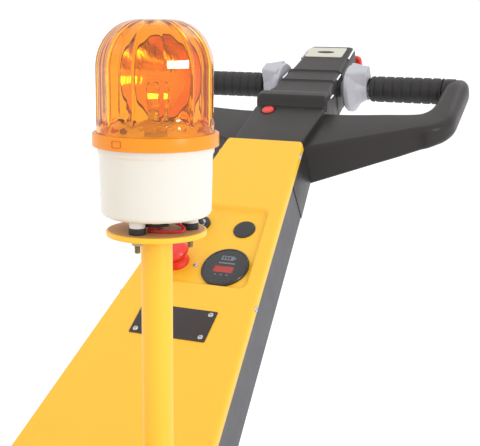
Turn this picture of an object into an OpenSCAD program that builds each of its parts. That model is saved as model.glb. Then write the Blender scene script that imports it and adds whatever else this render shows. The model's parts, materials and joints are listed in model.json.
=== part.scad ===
// Electric pallet truck. Millimetres, +Z up, floor at Z = 0, forks towards -Y, operator towards +Y.
// The origin is on the floor, under the middle of the truck's length, on its centre line.

/* [Forks] */
// Width over both forks
width_over_forks = 560; // [520:10:620]
// Length of a fork from the battery box to its tip
fork_length = 1150; // [900:10:1250]
// Width of one fork
fork_width = 160; // [150:5:185]
// Height of the fork's top face when lowered
fork_top = 85; // [85:1:90]
// Plate thickness of the forks and the battery box
fork_plate = 5; // [4:0.5:6]
// How far the forks rise
lift = 120; // [90:5:130]
// Radius of a load roller
load_wheel_r = 37; // [35:1:37]

/* [Chassis] */
// Width of the drive section
chassis_width = 720; // [710:10:820]
// Height of the fixed deck that the beacon post stands on
deck_top = 440; // [436:1:448]
// Height of the rear hood
hood_top = 640; // [620:5:700]
// Radius of the drive wheel
drive_wheel_r = 115; // [105:1:120]
// Width of the drive wheel
drive_wheel_w = 70; // [60:1:78]
// Radius of a stabiliser caster wheel
caster_r = 50; // [44:1:55]
// Height of the battery box
battery_box_top = 500; // [460:5:540]
// Radius of the lift ram
ram_r = 17.5; // [14:0.5:20]

/* [Tiller] */
// Angle of the tiller above the horizontal at rest
arm_angle = 34.9; // [25:0.1:45]
// Length from the tilt pin to the top end of the yellow cover
arm_length = 660; // [650:5:760]
// Width of the cover at its top end
cover_top_w = 111.2; // [104:0.1:118]
// Half width that the cover gains per millimetre towards the truck
cover_taper = 0.1209; // [0.1:0.0001:0.13]
// Distance from the tilt pin to the cover's bottom end
cover_stop = 40; // [32:1:60]
// Depth of the tiller arm
arm_depth = 71.7; // [66:0.1:78]
// Depth of the cover's folded side
cover_flange = 11.6; // [10:0.1:14]
// Radius of the tilt pin
pivot_r = 10; // [8:0.5:11]
// Height of the tilt pin above the deck
pivot_rise = 65; // [62:1:80]
// Radius of a hand grip
grip_r = 19; // [17:0.5:20]

/* [Beacon] */
// Height of the plate that carries the beacon
beacon_plate_z = 915; // [790:1:1000]
// Radius of the lens collar
lens_r = 50; // [48:0.5:54]
// Height of the beacon above its plate
beacon_h = 165; // [160:1:180]
// Radius of the beacon post
post_r = 12.7; // [11:0.1:15]

/* [Hidden] */
$fn = 48;

// Running clearance of a shaft in its bore, and the gap between bodies that pass each other
run_clear = 0.05;
gap = 0.3;
// Gap left round a fixed pin in its own hole
snug = 0.02;

yellow = [1.0, 0.78, 0.22];
charcoal = [0.27, 0.26, 0.27];
steel_grey = [0.47, 0.47, 0.5];

// --- places along the truck, measured from the steering axis ---
rear_plate_front = -352;
rear_plate_back = -360;
box_front = -368;
box_back = -520;
head_turn = 10;
head_drop = 5;
head_end_v = 296;
button_end_v = 312;
cover_rise = arm_depth / 2;
pivot_back = 50;
pivot_z = deck_top + pivot_rise;
cover_length = arm_length - cover_stop;
front_reach = -pivot_back + arm_length * cos(arm_angle) - (cover_rise - head_drop) * sin(arm_angle)
    + button_end_v * cos(arm_angle - head_turn) + 47 * sin(arm_angle - head_turn);
steer_y = (fork_length - box_back - front_reach) / 2;
pivot_y = steer_y - pivot_back;
tip_y = steer_y + box_back - fork_length;

// --- forks ---
fork_x = (width_over_forks - fork_width) / 2;
box_half = width_over_forks / 2;
fork_skirt_z = 32;
rocker_y = tip_y + 285;
rocker_z = load_wheel_r + 5;
rocker_arm = 170;
rocker_drop = rocker_z - load_wheel_r;
rocker_reach = sqrt(rocker_arm * rocker_arm - rocker_drop * rocker_drop);
rocker_turn = asin((rocker_drop + lift) / rocker_arm) - asin(rocker_drop / rocker_arm);
lever_arm = 24;
lever_lean = rocker_turn / 2;
rocker_pin_r = 8;
roller_pin_r = 8;
rod_pin_r = 5;
hinge_pin_r = 4;
hinge_z = battery_box_top + 11;
cheek_in = 42;
cheek_t = 5;

// --- drive ---
frame_z = 2 * drive_wheel_r + 92;
frame_t = 12;
frame_top = frame_z + frame_t;
motor_r = 75;
ring_h = 22;
ring_base = frame_z - ring_h;
ring_in_r = 80;
case_z = ring_base - 48;
axle_r = 15;
ring_mid_r = 94;
ring_out_r = 112;
yoke_t = 12;
yoke_z = deck_top + 2 - yoke_t;
ear_in = 56;
ear_t = 12;
lug_in = ear_in + ear_t + 1;
lug_t = 8;
caster_x = chassis_width / 2 - 100;
caster_trail = 30;
caster_top = 146;
boss_z = caster_top + 4;
stem_r = 10;
ram_y = steer_y - 318;
barrel_r = 32;
piston_r = 25;
cylinder_foot_z = 100;
bracket_z = battery_box_top - 60;
barrel_h = bracket_z - cylinder_foot_z - 40;

// --- beacon ---
beacon_x = 172;
beacon_y = steer_y - 155;
plate_t = 4.5;
stud_pcd = 54;
stud_turn = 25;
stud_r = 2.5;
foot_r = 6.5;
cup_bottom = 11.5;
cup_top = 67.3;
collar_top = 77.8;
dome_r = lens_r - 3.5;
holder_r = 10;
ring_z = 80;
carrier_r = 24;
roller_r = 6;

// --- tiller controls, x across the arm and u down the arm from the cover's top end ---
panel_u0 = -135;
panel_u1 = -266;
panel_margin = 20;
panel_depth = 6;
cover_wall = 3;
gauge_x = 28.8;
gauge_u = -234.5;
plug_x = 29.9;
plug_u = -167.7;
key_x = -31;
key_u = -165;
estop_x = -38;
estop_u = -232;
grip_v = 208;
grip_w = -28;
tube_r = 11;
sleeve_r = 14;

function half_w(u) = cover_top_w / 2 - cover_taper * u;

// ---------------------------------------------------------------- shared shapes

module at_steer() { translate([0, steer_y, 0]) children(); }

module on_arm() {
    translate([0, pivot_y, pivot_z]) rotate([arm_angle, 0, 0]) translate([0, arm_length, cover_rise])
        children();
}

// Head frame: v along the head, w out of its top face
module on_head() { on_arm() translate([0, 0, -head_drop]) rotate([-head_turn, 0, 0]) children(); }

module at_beacon() { translate([beacon_x, beacon_y, beacon_plate_z]) children(); }

// A shape on the right, and its mirror image on the left
module both() {
    children();
    mirror([1, 0, 0]) children();
}

// Cylinder along X from x0 to x1
module rod_x(r, x0, x1) { translate([x0, 0, 0]) rotate([0, 90, 0]) cylinder(r = r, h = x1 - x0); }

module box_at(x0, x1, y0, y1, z0, z1) {
    translate([x0, y0, z0]) cube([x1 - x0, y1 - y0, z1 - z0]);
}

module disc_ring(r_out, r_in, h) {
    difference() {
        cylinder(r = r_out, h = h);
        translate([0, 0, -1]) cylinder(r = r_in, h = h + 2);
    }
}

// Plan of the drive section: square at the back, round at its two front corners
module front_plan(half, y0, y1, r) {
    translate([-half, y0]) square([2 * half, y1 - y0 - r]);
    translate([-half + r, y0]) square([2 * (half - r), y1 - y0]);
    for (side = [-1, 1]) translate([side * (half - r), y1 - r]) circle(r = r);
}

module front_block(half, y0, y1, r, z0, z1) {
    translate([0, 0, z0]) linear_extrude(z1 - z0) front_plan(half, y0, y1, r);
}

// Tapered block of the arm, inset from the cover's outline
module arm_block(inset, u0, u1, h0, h1) {
    translate([0, 0, h0]) linear_extrude(h1 - h0) polygon([
        [-half_w(u0) + inset, u0], [half_w(u0) - inset, u0],
        [half_w(u1) - inset, u1], [-half_w(u1) + inset, u1]
    ]);
}

// Tube of radius r swept along points that functions or hand-chosen lists give
module swept_tube(points, r, sides = 8) {
    count = len(points);
    function step(i) = points[min(i + 1, count - 1)] - points[max(i - 1, 0)];
    function unit(v) = v / norm(v);
    rings = [for (i = [0 : count - 1])
        let (t = unit(step(i)), a = unit(cross(t, [0.31, 0.17, 0.93])), b = cross(t, a))
        for (k = [0 : sides - 1]) points[i] + r * (cos(360 * k / sides) * a + sin(360 * k / sides) * b)];
    walls = [for (i = [0 : count - 2]) for (k = [0 : sides - 1])
        let (a = i * sides + k, b = i * sides + (k + 1) % sides) each
            [[a, a + sides, b + sides], [a, b + sides, b]]];
    first = [for (k = [0 : sides - 1]) k];
    last = [for (k = [sides - 1 : -1 : 0]) (count - 1) * sides + k];
    polyhedron(points = rings, faces = concat(walls, [first, last]), convexity = 6);
}

// ---------------------------------------------------------------- chassis

module chassis_frame() {
    half = chassis_width / 2;
    color(charcoal) at_steer() {
        difference() {
            union() {
                front_block(half - 5, rear_plate_front, 160, 105, frame_z, frame_top);
                box_at(-half + 5, half - 5, rear_plate_back, rear_plate_front, 60, frame_top);
                box_at(-300, 300, rear_plate_back, rear_plate_front, frame_top, hood_top - 40);
                box_at(-70, 70, rear_plate_front, -268, cylinder_foot_z - 16, cylinder_foot_z);
                both() translate([caster_x, 0, boss_z]) cylinder(r = 28, h = frame_z - boss_z);
            }
            translate([0, 0, frame_z - 1]) cylinder(r = ring_mid_r + 2, h = frame_t + 2);
            translate([0, ram_y - steer_y, frame_z - 1]) cylinder(r = barrel_r + 2, h = frame_t + 2);
            box_at(-60, 60, rear_plate_back - 1, rear_plate_front + 1, bracket_z - 15, hood_top);
            both() translate([caster_x, 0, boss_z - 1]) cylinder(r = stem_r + run_clear, h = 51);
        }
    }
}

// Side outline of the rear hood, seen along X
module hood_side(t) {
    rotate([90, 0, 90]) translate([0, 0, -400]) linear_extrude(800) polygon([
        [rear_plate_front, frame_top - t], [-190 - t, frame_top - t], [-205 - t, hood_top - 80],
        [-222 - t, hood_top - 30], [-250, hood_top - t], [rear_plate_front, hood_top - t]
    ]);
}

module hood() {
    color(yellow) at_steer() difference() {
        intersection() {
            front_block(300, rear_plate_front, -190, 45, frame_top, hood_top);
            hood_side(0);
        }
        intersection() {
            front_block(296, rear_plate_front - 1, -194, 41, frame_top - 1, hood_top - 4);
            translate([0, -0.5, 0]) hood_side(4);
        }
        for (i = [0 : 5]) box_at(-90, 90, -230, -180, 410 + 22 * i, 418 + 22 * i);
    }
}

module deck_cover() {
    half = chassis_width / 2 - 20;
    color(charcoal) at_steer() difference() {
        front_block(half, -188, 140, 92, frame_top, deck_top);
        front_block(half - 4, -184, 136, 88, frame_top - 1, deck_top - 4);
        translate([0, 0, deck_top - 5]) cylinder(r = 90, h = 6);
        translate([beacon_x, -155, deck_top - 5]) cylinder(r = post_r - 3, h = 6);
    }
}

module bumper_skirt() {
    half = chassis_width / 2;
    color(charcoal) at_steer() difference() {
        front_block(half, rear_plate_front, 165, 110, 60, frame_top);
        front_block(half - 5, rear_plate_front - 1, 160, 105, 59, frame_top + 1);
    }
}

module slew_ring_outer() {
    color(steel_grey) at_steer() translate([0, 0, ring_base]) disc_ring(ring_out_r, ring_mid_r + gap, ring_h);
}

module hydraulic_unit() {
    color(charcoal) at_steer() {
        box_at(-270, -110, -335, -225, frame_top, 470);
        translate([-190, -280, 470]) cylinder(r = 45, h = hood_top - 520);
        translate([-130, -280, 470]) cylinder(r = 9, h = 14);
    }
}

module controller() {
    color(steel_grey) at_steer() difference() {
        box_at(120, 270, -335, -235, frame_top, hood_top - 100);
        for (i = [0 : 6]) box_at(132 + 19 * i, 142 + 19 * i, -250, -230, frame_top + 20, hood_top - 110);
    }
}

module lift_cylinder() {
    color("black") translate([0, ram_y, cylinder_foot_z]) difference() {
        cylinder(r = barrel_r, h = barrel_h);
        translate([0, 0, 8]) cylinder(r = piston_r, h = barrel_h - 23);
        translate([0, 0, barrel_h - 20]) cylinder(r = ram_r + run_clear, h = 30);
    }
}

module cylinder_rod() {
    color("silver") translate([0, ram_y, 0]) {
        translate([0, 0, cylinder_foot_z + 30]) cylinder(r = piston_r - run_clear, h = 20);
        translate([0, 0, cylinder_foot_z + 50]) cylinder(r = ram_r, h = bracket_z - cylinder_foot_z - 50);
    }
}

// ---------------------------------------------------------------- beacon

module at_studs() {
    for (i = [0 : 2]) rotate([0, 0, stud_turn + 120 * i]) translate([stud_pcd / 2, 0, 0]) children();
}

module beacon_post() {
    post_h = beacon_plate_z - plate_t - deck_top;
    color(yellow) {
        translate([beacon_x, beacon_y, deck_top]) {
            disc_ring(30, post_r - 2, 6);
            disc_ring(post_r, post_r - 2, post_h);
        }
        at_beacon() translate([0, 0, -plate_t]) difference() {
            cylinder(r = 40.3, h = plate_t);
            translate([0, 0, -1]) cylinder(r = 8, h = plate_t + 2);
            at_studs() translate([0, 0, -1]) cylinder(r = stud_r + snug, h = plate_t + 2);
        }
    }
}

module beacon_studs() {
    color("silver") at_beacon() at_studs() {
        translate([0, 0, -15]) cylinder(r = stud_r, h = 27);
        translate([0, 0, -plate_t - 4]) difference() {
            cylinder(r = 4.6, h = 4, $fn = 6);
            translate([0, 0, -1]) cylinder(r = stud_r + snug, h = 6);
        }
    }
}

module beacon_washers() {
    color("black") at_beacon() at_studs() disc_ring(7, stud_r + snug, 5);
}

module beacon_base() {
    color("ivory") at_beacon() difference() {
        union() {
            rotate_extrude() polygon([
                [0, cup_bottom], [dome_r - 8.5, cup_bottom], [dome_r - 4, cup_bottom + 2.2],
                [dome_r - 2, cup_bottom + 6], [dome_r - 0.3, cup_top - 4], [dome_r, cup_top],
                [dome_r - 2.5, cup_top], [dome_r - 2.5, cup_top - 4], [dome_r - 4.5, cup_bottom + 7],
                [dome_r - 6.5, cup_bottom + 3], [holder_r, cup_bottom + 3],
                [holder_r, ring_z + 6], [0, ring_z + 6]
            ]);
            at_studs() translate([0, 0, 5]) cylinder(r = foot_r, h = cup_bottom - 4);
        }
        at_studs() translate([0, 0, 4]) cylinder(r = stud_r + snug, h = 8.5);
        rotate([0, 0, wire_turn]) translate([4, -6, cup_bottom - 1]) cylinder(r = 4.5, h = 6);
    }
}

// Outer outline of the lens at a wall inset t: straight sides, an elliptic shoulder and a flat crown
shoulder_h = 37;
crown_r = 12;
function dome_line(t) = [for (a = [0 : 10 : 90]) [
    crown_r - t * 0.3 + (dome_r - crown_r - t * 0.7) * cos(a),
    beacon_h - shoulder_h + (shoulder_h - t) * sin(a)
]];
lens_wall = 2.5;

module beacon_lens() {
    color([1, 0.55, 0.1, 0.8]) at_beacon() rotate_extrude() difference() {
        union() {
            translate([0, cup_top]) square([lens_r, collar_top - cup_top]);
            polygon(concat([[0, cup_top], [dome_r, cup_top]], dome_line(0), [[0, beacon_h]]));
        }
        polygon(concat(
            [[0, cup_top - 1], [dome_r - lens_wall, cup_top - 1]],
            dome_line(lens_wall), [[0, beacon_h - lens_wall]]
        ));
    }
}

module beacon_bulb() {
    color([1, 1, 0.9, 0.6]) at_beacon() translate([0, 0, ring_z + 6]) {
        cylinder(r = 7, h = 12);
        translate([0, 0, 20]) sphere(r = 10);
    }
}

module beacon_motor() {
    color(steel_grey) at_beacon() translate([-carrier_r - roller_r - gap, 0, cup_bottom + 3]) {
        cylinder(r = 9, h = 40);
        cylinder(r = 2, h = ring_z - cup_bottom + 3);
    }
}

module beacon_roller() {
    color("black") at_beacon() translate([-carrier_r - roller_r - gap, 0, ring_z - 1])
        disc_ring(roller_r, 2 + run_clear, 6);
}

module beacon_reflector() {
    dish_r = 34;
    dish_z = 121;
    color("gold") at_beacon() {
        translate([0, 0, ring_z]) disc_ring(carrier_r, holder_r + run_clear, 4);
        box_at(-6, 6, 14, 21, ring_z + 4, dish_z - dish_r + 4);
        translate([0, 0, dish_z]) rotate([-90, 0, 0]) rotate_extrude() polygon(concat(
            [for (r = [0 : 5 : dish_r]) [r, 32 - 22 * pow(r / dish_r, 2)]],
            [for (r = [dish_r : -5 : 0]) [r, 30 - 22 * pow(r / dish_r, 2)]]
        ));
    }
}

// The two leads leave the cup, loop between the feet and drop through the plate into the post
wire_r = 1.1;
wire_turn = 24;
red_route = [[5, -5, 15], [5, -5, 12], [8, -7, 10], [13, -10, 8], [19, -13, 6], [23, -16, 4], [22, -19, 2],
    [15, -20, 1.5], [7, -20, 1.5], [0, -19, 1.5], [-5, -16, 1.5], [-5, -12, 2], [-1, -9, 3], [2, -6, 3],
    [3, -4, 0], [3, -3, -5], [3, -3, -16]];
black_route = [[3, -7, 15], [3, -7, 12], [1, -10, 10], [-3, -13, 8], [-7, -15, 7], [-7, -18, 6], [-2, -20, 6],
    [5, -19, 6], [10, -16, 6], [9, -12, 6], [4, -10, 6.5], [-1, -7, 7], [-4, -4, 5], [-4, -2, 1],
    [-4, -1, -4], [-4, -1, -16]];

module beacon_wires() {
    at_beacon() rotate([0, 0, wire_turn]) {
        color("red") swept_tube(red_route, wire_r);
        color("black") swept_tube(black_route, wire_r);
    }
}

// ---------------------------------------------------------------- steered drive unit

module slew_ring_inner() {
    color(steel_grey) at_steer() translate([0, 0, ring_base]) disc_ring(ring_mid_r, ring_in_r, ring_h - 0.5);
}

module gearbox() {
    color(steel_grey) at_steer() difference() {
        union() {
            translate([0, 0, ring_base - 14]) cylinder(r = 93, h = 14);
            box_at(-96, 60, -60, 60, case_z, ring_base - 14);
            box_at(-96, -drive_wheel_w / 2 - 6, -55, 55, 60, case_z);
            translate([0, 0, drive_wheel_r]) {
                rod_x(axle_r, -drive_wheel_w / 2 - 8, drive_wheel_w / 2 + 6);
                rod_x(24, drive_wheel_w / 2 + 1, drive_wheel_w / 2 + 6);
            }
        }
        for (side = [-1, 1]) translate([-97, side * 55, 40]) rotate([side * 40, 0, 0])
            box_at(0, 80, -30, 30, -30, 30);
    }
}

module drive_motor() {
    color("black") at_steer() {
        translate([0, 0, ring_base]) cylinder(r = motor_r, h = yoke_z - 30 - ring_base);
        translate([0, 0, yoke_z - 30]) cylinder(r = motor_r - 8, h = 30);
    }
}

module tiller_yoke() {
    color(charcoal) at_steer() difference() {
        union() {
            translate([0, 0, yoke_z]) cylinder(r = 80, h = yoke_t);
            for (side = [-1, 1]) {
                x0 = side * (ear_in + ear_t / 2) - ear_t / 2;
                translate([0, -pivot_back, pivot_z]) rod_x(26, x0, x0 + ear_t);
                box_at(x0, x0 + ear_t, -pivot_back - 26, -pivot_back + 26, yoke_z + yoke_t, pivot_z);
            }
        }
        translate([0, -pivot_back, pivot_z]) rod_x(pivot_r + snug, -100, 100);
    }
}

module pivot_pin() {
    end = lug_in + lug_t + 1;
    color("silver") translate([0, pivot_y, pivot_z]) {
        rod_x(pivot_r, -end, end);
        both() rod_x(pivot_r + 4, end, end + 3);
    }
}

module drive_wheel_hub() {
    w = drive_wheel_w / 2;
    color(steel_grey) at_steer() translate([0, 0, drive_wheel_r]) difference() {
        rod_x(drive_wheel_r - 25, -w, w);
        rod_x(drive_wheel_r - 40, w - 14, w + 1);
        rod_x(axle_r + run_clear, -w - 1, w + 1);
        for (a = [0 : 60 : 300]) rotate([a, 0, 0]) translate([0, 45, 0]) rod_x(6, w - 30, w);
    }
    color(steel_grey) at_steer() translate([0, 0, drive_wheel_r]) difference() {
        rod_x(26, w - 15, w);
        rod_x(axle_r + run_clear, -w - 1, w + 1);
    }
}

module drive_tyre() {
    w = drive_wheel_w / 2;
    color([0.75, 0.3, 0.12]) at_steer() translate([0, 0, drive_wheel_r]) rotate([0, 90, 0]) rotate_extrude()
        polygon([[drive_wheel_r - 25, -w], [drive_wheel_r - 4, -w], [drive_wheel_r, -w + 4],
            [drive_wheel_r, w - 4], [drive_wheel_r - 4, w], [drive_wheel_r - 25, w]]);
}

// ---------------------------------------------------------------- casters

module caster_fork(side) {
    color("silver") translate([side * caster_x, steer_y, 0]) {
        translate([0, 0, caster_top - 8]) cylinder(r = 26, h = 8);
        translate([0, 0, caster_top]) cylinder(r = stem_r, h = 50);
        box_at(-29, 29, -22, 22, caster_top - 8, caster_top - 2);
        both() {
            box_at(24, 29, -22, 20, caster_r + 30, caster_top - 2);
            translate([24, 0, 0]) rotate([90, 0, 90]) linear_extrude(5) polygon([
                [-22, caster_r + 31], [-caster_trail - 14, caster_r], [-caster_trail, caster_r - 14],
                [-caster_trail + 16, caster_r], [20, caster_r + 31]
            ]);
        }
        translate([0, -caster_trail, caster_r]) rod_x(6, -29, 29);
    }
}

module caster_wheel(side) {
    color("dimgray") translate([side * caster_x, steer_y - caster_trail, caster_r]) rotate([0, 90, 0])
        rotate_extrude() polygon([
            [6 + run_clear, -22], [16, -22], [16, -18], [caster_r - 14, -18], [caster_r - 12, -21],
            [caster_r - 3, -21], [caster_r, -17], [caster_r, 17], [caster_r - 3, 21],
            [caster_r - 12, 21], [caster_r - 14, 18], [16, 18], [16, 22], [6 + run_clear, 22]
        ]);
}

// ---------------------------------------------------------------- lifting fork frame

module fork_plan(inset) {
    half = fork_width / 2 - inset;
    nose = fork_width * 0.28 - inset;
    end = -fork_length + inset;
    polygon([[-half, 0], [half, 0], [half, end + 90], [nose + 14, end + 14], [nose, end], [-nose, end],
        [-nose - 14, end + 14], [-half, end + 90]]);
}

module one_fork() {
    top = fork_top;
    difference() {
        translate([0, 0, fork_skirt_z]) linear_extrude(top - fork_skirt_z) fork_plan(0);
        intersection() {
            translate([0, 0, fork_skirt_z - 1]) linear_extrude(top - fork_skirt_z - fork_plate + 1)
                fork_plan(fork_plate);
            box_at(-100, 100, -fork_length + 60, 0, 0, top);
        }
        translate([0, -fork_length + 100, fork_skirt_z]) rotate([-16, 0, 0])
            box_at(-100, 100, -200, 0, -60, 0);
    }
}

// The lid's hinge line, on top of the battery box at its front
module at_hinge() { translate([0, steer_y + box_front - 8, hinge_z]) children(); }

module fork_frame() {
    t = fork_plate;
    color(yellow) difference() {
        union() {
            at_steer() {
                for (side = [-1, 1]) translate([side * fork_x, box_back, 0]) one_fork();
                difference() {
                    box_at(-box_half, box_half, box_back, box_front, fork_skirt_z, battery_box_top);
                    box_at(-box_half + t, box_half - t, box_back + t, box_front - t, fork_top + 1, 999);
                    box_at(-box_half + t, box_half - t, box_back + t, box_front - t, 0, fork_top - t);
                    both() box_at(fork_x - fork_width / 2 + t, fork_x + fork_width / 2 - t,
                        box_back - 1, box_back + t + 1, 0, fork_top - t);
                }
                box_at(-40, 40, box_front, -300, bracket_z, bracket_z + 20);
                both() box_at(215, 265, box_front, rear_plate_back - gap, 120, battery_box_top - 100);
                both() box_at(112, 122, box_front - 16, box_front,
                    battery_box_top - 20, battery_box_top + 20);
            }
        }
        translate([0, rocker_y, rocker_z]) rod_x(rocker_pin_r + snug, -400, 400);
        at_hinge() rod_x(hinge_pin_r + snug, -130, 130);
    }
}

module fork_pins() {
    color("silver") {
        for (side = [-1, 1]) translate([side * fork_x, rocker_y, rocker_z])
            rod_x(rocker_pin_r, -fork_width / 2, fork_width / 2);
        at_hinge() rod_x(hinge_pin_r, -124, 124);
    }
}

module battery() {
    t = fork_plate;
    color([0.2, 0.25, 0.35]) at_steer() {
        box_at(-box_half + t + 2, box_half - t - 2, box_back + t + 2, box_front - t - 2, fork_top + 1,
            battery_box_top - 40);
        for (i = [-2 : 2]) translate([i * 100, (box_back + box_front) / 2 + 25, battery_box_top - 40])
            cylinder(r = 12, h = 8);
    }
}

module battery_connector() {
    color("firebrick") at_steer() {
        box_at(150, 210, box_back + 20, box_back + 50, battery_box_top - 40, battery_box_top - 10);
        box_at(155, 205, box_back + 50, box_back + 75, battery_box_top - 37, battery_box_top - 13);
    }
}

module battery_lid() {
    z = battery_box_top + gap;
    color(yellow) at_steer() difference() {
        union() {
            box_at(-box_half - 4, box_half + 4, box_back - 4, box_front - 24, z, z + 5);
            box_at(-box_half - 4, box_half + 4, box_back - 4, box_back - gap, z - 20, z);
            both() box_at(60, 110, box_front - 24, box_front - 8, z, z + 5);
            both() translate([0, box_front - 8, hinge_z]) rod_x(8, 60, 110);
        }
        translate([0, box_front - 8, hinge_z]) rod_x(hinge_pin_r + run_clear, -130, 130);
        box_at(-60, 60, box_back + 20, box_back + 40, z - 1, z + 9);
    }
}

module rocker(side) {
    color(charcoal) translate([side * fork_x, rocker_y, rocker_z]) difference() {
        union() {
            rod_x(11.5, -cheek_in - cheek_t, cheek_in + cheek_t);
            both() rotate([asin(rocker_drop / rocker_arm), 0, 0]) {
                translate([cheek_in, -rocker_arm, -11]) cube([cheek_t, rocker_arm, 22]);
                translate([0, -rocker_arm, 0]) rod_x(14, cheek_in, cheek_in + cheek_t);
            }
            both() rotate([-lever_lean, 0, 0]) {
                translate([12, -8, 0]) cube([6, 16, lever_arm]);
                translate([0, 0, lever_arm]) rod_x(8, 12, 18);
            }
            rotate([-lever_lean, 0, 0]) translate([0, 0, lever_arm]) rod_x(rod_pin_r, -18, 18);
            translate([0, -rocker_reach, -rocker_drop])
                rod_x(roller_pin_r, -cheek_in - cheek_t, cheek_in + cheek_t);
        }
        rod_x(rocker_pin_r + run_clear, -60, 60);
    }
}

module load_wheel(side) {
    r = load_wheel_r;
    bore = roller_pin_r + run_clear;
    w = cheek_in - 3;
    boss_w = cheek_in - 1.5;
    color([0.75, 0.3, 0.12]) translate([side * fork_x, rocker_y - rocker_reach, r]) rotate([0, 90, 0])
        rotate_extrude() polygon([
            [bore, -boss_w], [14, -boss_w], [15, -w], [r - 2, -w], [r, -w + 3],
            [r, w - 3], [r - 2, w], [15, w], [14, boss_w], [bore, boss_w]
        ]);
}

// The push rod's eye is wide enough for the lever pin's small rise and fall
rod_eye_r = rod_pin_r + 2.5;
rod_set_back = 2;
rod_rise = 0.8;

module push_rod(side) {
    pin_y = rocker_y + lever_arm * sin(lever_lean) - rod_set_back;
    pin_z = rocker_z + lever_arm * cos(lever_lean) + rod_rise;
    heel_y = steer_y + box_front - 30;
    color("silver") translate([side * fork_x, 0, pin_z]) difference() {
        union() {
            translate([0, pin_y, 0]) rod_x(rod_eye_r + 3, -8, 8);
            translate([0, pin_y + rod_eye_r + 1, 0]) rotate([-90, 0, 0])
                cylinder(r = 7, h = heel_y - pin_y - rod_eye_r);
            translate([0, heel_y, 0]) rod_x(10, -8, 8);
        }
        translate([0, pin_y, 0]) rod_x(rod_eye_r, -9, 9);
        translate([0, heel_y, 0]) rod_x(5, -9, 9);
    }
}

// ---------------------------------------------------------------- tiller arm

module arm_channel() {
    end = -45;
    lug_end = -arm_length + 120;
    lug_out = lug_in + lug_t;
    color(steel_grey) on_arm() difference() {
        union() {
            difference() {
                arm_block(1.5, -cover_length, end, -arm_depth, -cover_flange);
                arm_block(5.5, -cover_length - 1, end + 1, -arm_depth + 4, -cover_flange + 1);
            }
            both() {
                box_at(lug_in, lug_out, -arm_length, lug_end, -cover_rise - 26, -cover_wall - 9);
                box_at(lug_in, lug_out, -cover_length, lug_end, -arm_depth + 3, -cover_rise);
                translate([0, -arm_length, -cover_rise]) rod_x(26, lug_in, lug_out);
            }
        }
        translate([0, -arm_length, -cover_rise]) rod_x(pivot_r + run_clear, -100, 100);
        arm_block(0, -cover_length - 1, end + 1, -cover_flange, 1);
    }
}

module arm_cover() {
    back = cover_wall + panel_depth;
    color(yellow) on_arm() difference() {
        union() {
            difference() {
                arm_block(0, -cover_length, 0, -cover_flange, 0);
                arm_block(cover_wall, -cover_length - 1, -cover_wall, -cover_flange - 1, -cover_wall);
            }
            arm_block(panel_margin - 3, panel_u1 - 3, panel_u0 + 3, -back, -1);
        }
        arm_block(panel_margin, panel_u1, panel_u0, -panel_depth, 1);
        translate([gauge_x, gauge_u, -20]) cylinder(r = 26 + snug, h = 25);
        translate([plug_x, plug_u, -20]) cylinder(r = 10 + snug, h = 25);
        translate([key_x, key_u, -20]) cylinder(r = 9 + snug, h = 25);
        translate([estop_x, estop_u, -20]) cylinder(r = 11 + snug, h = 25);
    }
}

plate_half_w = 50;
plate_u0 = -309;
plate_u1 = -355;
plate_thick = 1.2;

module name_plate() {
    color([0.3, 0.24, 0.23]) on_arm() box_at(-plate_half_w, plate_half_w, plate_u1, plate_u0, 0, plate_thick);
}

module arm_screws() {
    lean = atan(cover_taper);
    color("silver") on_arm() {
        both() for (u = [-25, -292]) translate([half_w(u), u, -cover_flange / 2])
            rotate([0, 0, lean]) rod_x(4, 0, 2.2);
        both() for (u = [plate_u0 - 6, plate_u1 + 6]) translate([plate_half_w - 7, u, plate_thick])
            cylinder(r = 3, h = 1.6);
        translate([-12, -235, -panel_depth]) cylinder(r = 3, h = 1.6);
    }
}

module gauge_housing() {
    color("black") on_arm() translate([gauge_x, gauge_u, -panel_depth]) difference() {
        union() {
            cylinder(r = 30.8, h = 4);
            translate([0, 0, -34]) cylinder(r = 26, h = 35);
        }
        translate([0, 0, 2.5]) cylinder(r = 27.5, h = 5);
    }
}

module gauge_lens() {
    color([0.8, 0.8, 0.85, 0.4]) on_arm() translate([gauge_x, gauge_u, -panel_depth + 2.5])
        cylinder(r = 27.5 - snug, h = 1.2);
}

module blank_plug() {
    color("black") on_arm() translate([plug_x, plug_u, -panel_depth]) {
        cylinder(r = 14.5, h = 2.5);
        translate([0, 0, -14]) cylinder(r = 10, h = 15);
    }
}

module key_barrel() {
    color("black") on_arm() translate([key_x, key_u, -panel_depth]) difference() {
        union() {
            cylinder(r = 11.5, h = 5);
            translate([0, 0, -30]) cylinder(r = 9, h = 31);
        }
        translate([0, 0, -24]) cylinder(r = 6 + run_clear, h = 40);
    }
}

module ignition_key() {
    color("black") on_arm() translate([key_x, key_u, -panel_depth]) {
        translate([0, 0, -23]) cylinder(r = 6, h = 28);
        box_at(-1.5, 1.5, -4, 4, 4, 12);
        translate([0, 0, 22]) rotate([0, 90, 0]) translate([0, 0, -2]) cylinder(r = 11, h = 4);
    }
}

module estop_collar() {
    color("red") on_arm() translate([estop_x, estop_u, -panel_depth]) difference() {
        union() {
            cylinder(r = 15, h = 5);
            translate([0, 0, -34]) cylinder(r = 11, h = 35);
        }
        translate([0, 0, -29]) cylinder(r = 6 + run_clear, h = 60);
    }
}

module estop_head() {
    color("red") on_arm() translate([estop_x, estop_u, -panel_depth]) {
        translate([0, 0, -22]) cylinder(r = 6, h = 38);
        translate([0, 0, 12]) rotate_extrude() polygon(concat([[0, 0], [13, 0], [20, 5]],
            [for (a = [0 : 15 : 90]) [20 * cos(a), 9 + 9 * sin(a)]]));
    }
}

// ---------------------------------------------------------------- tiller head

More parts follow.
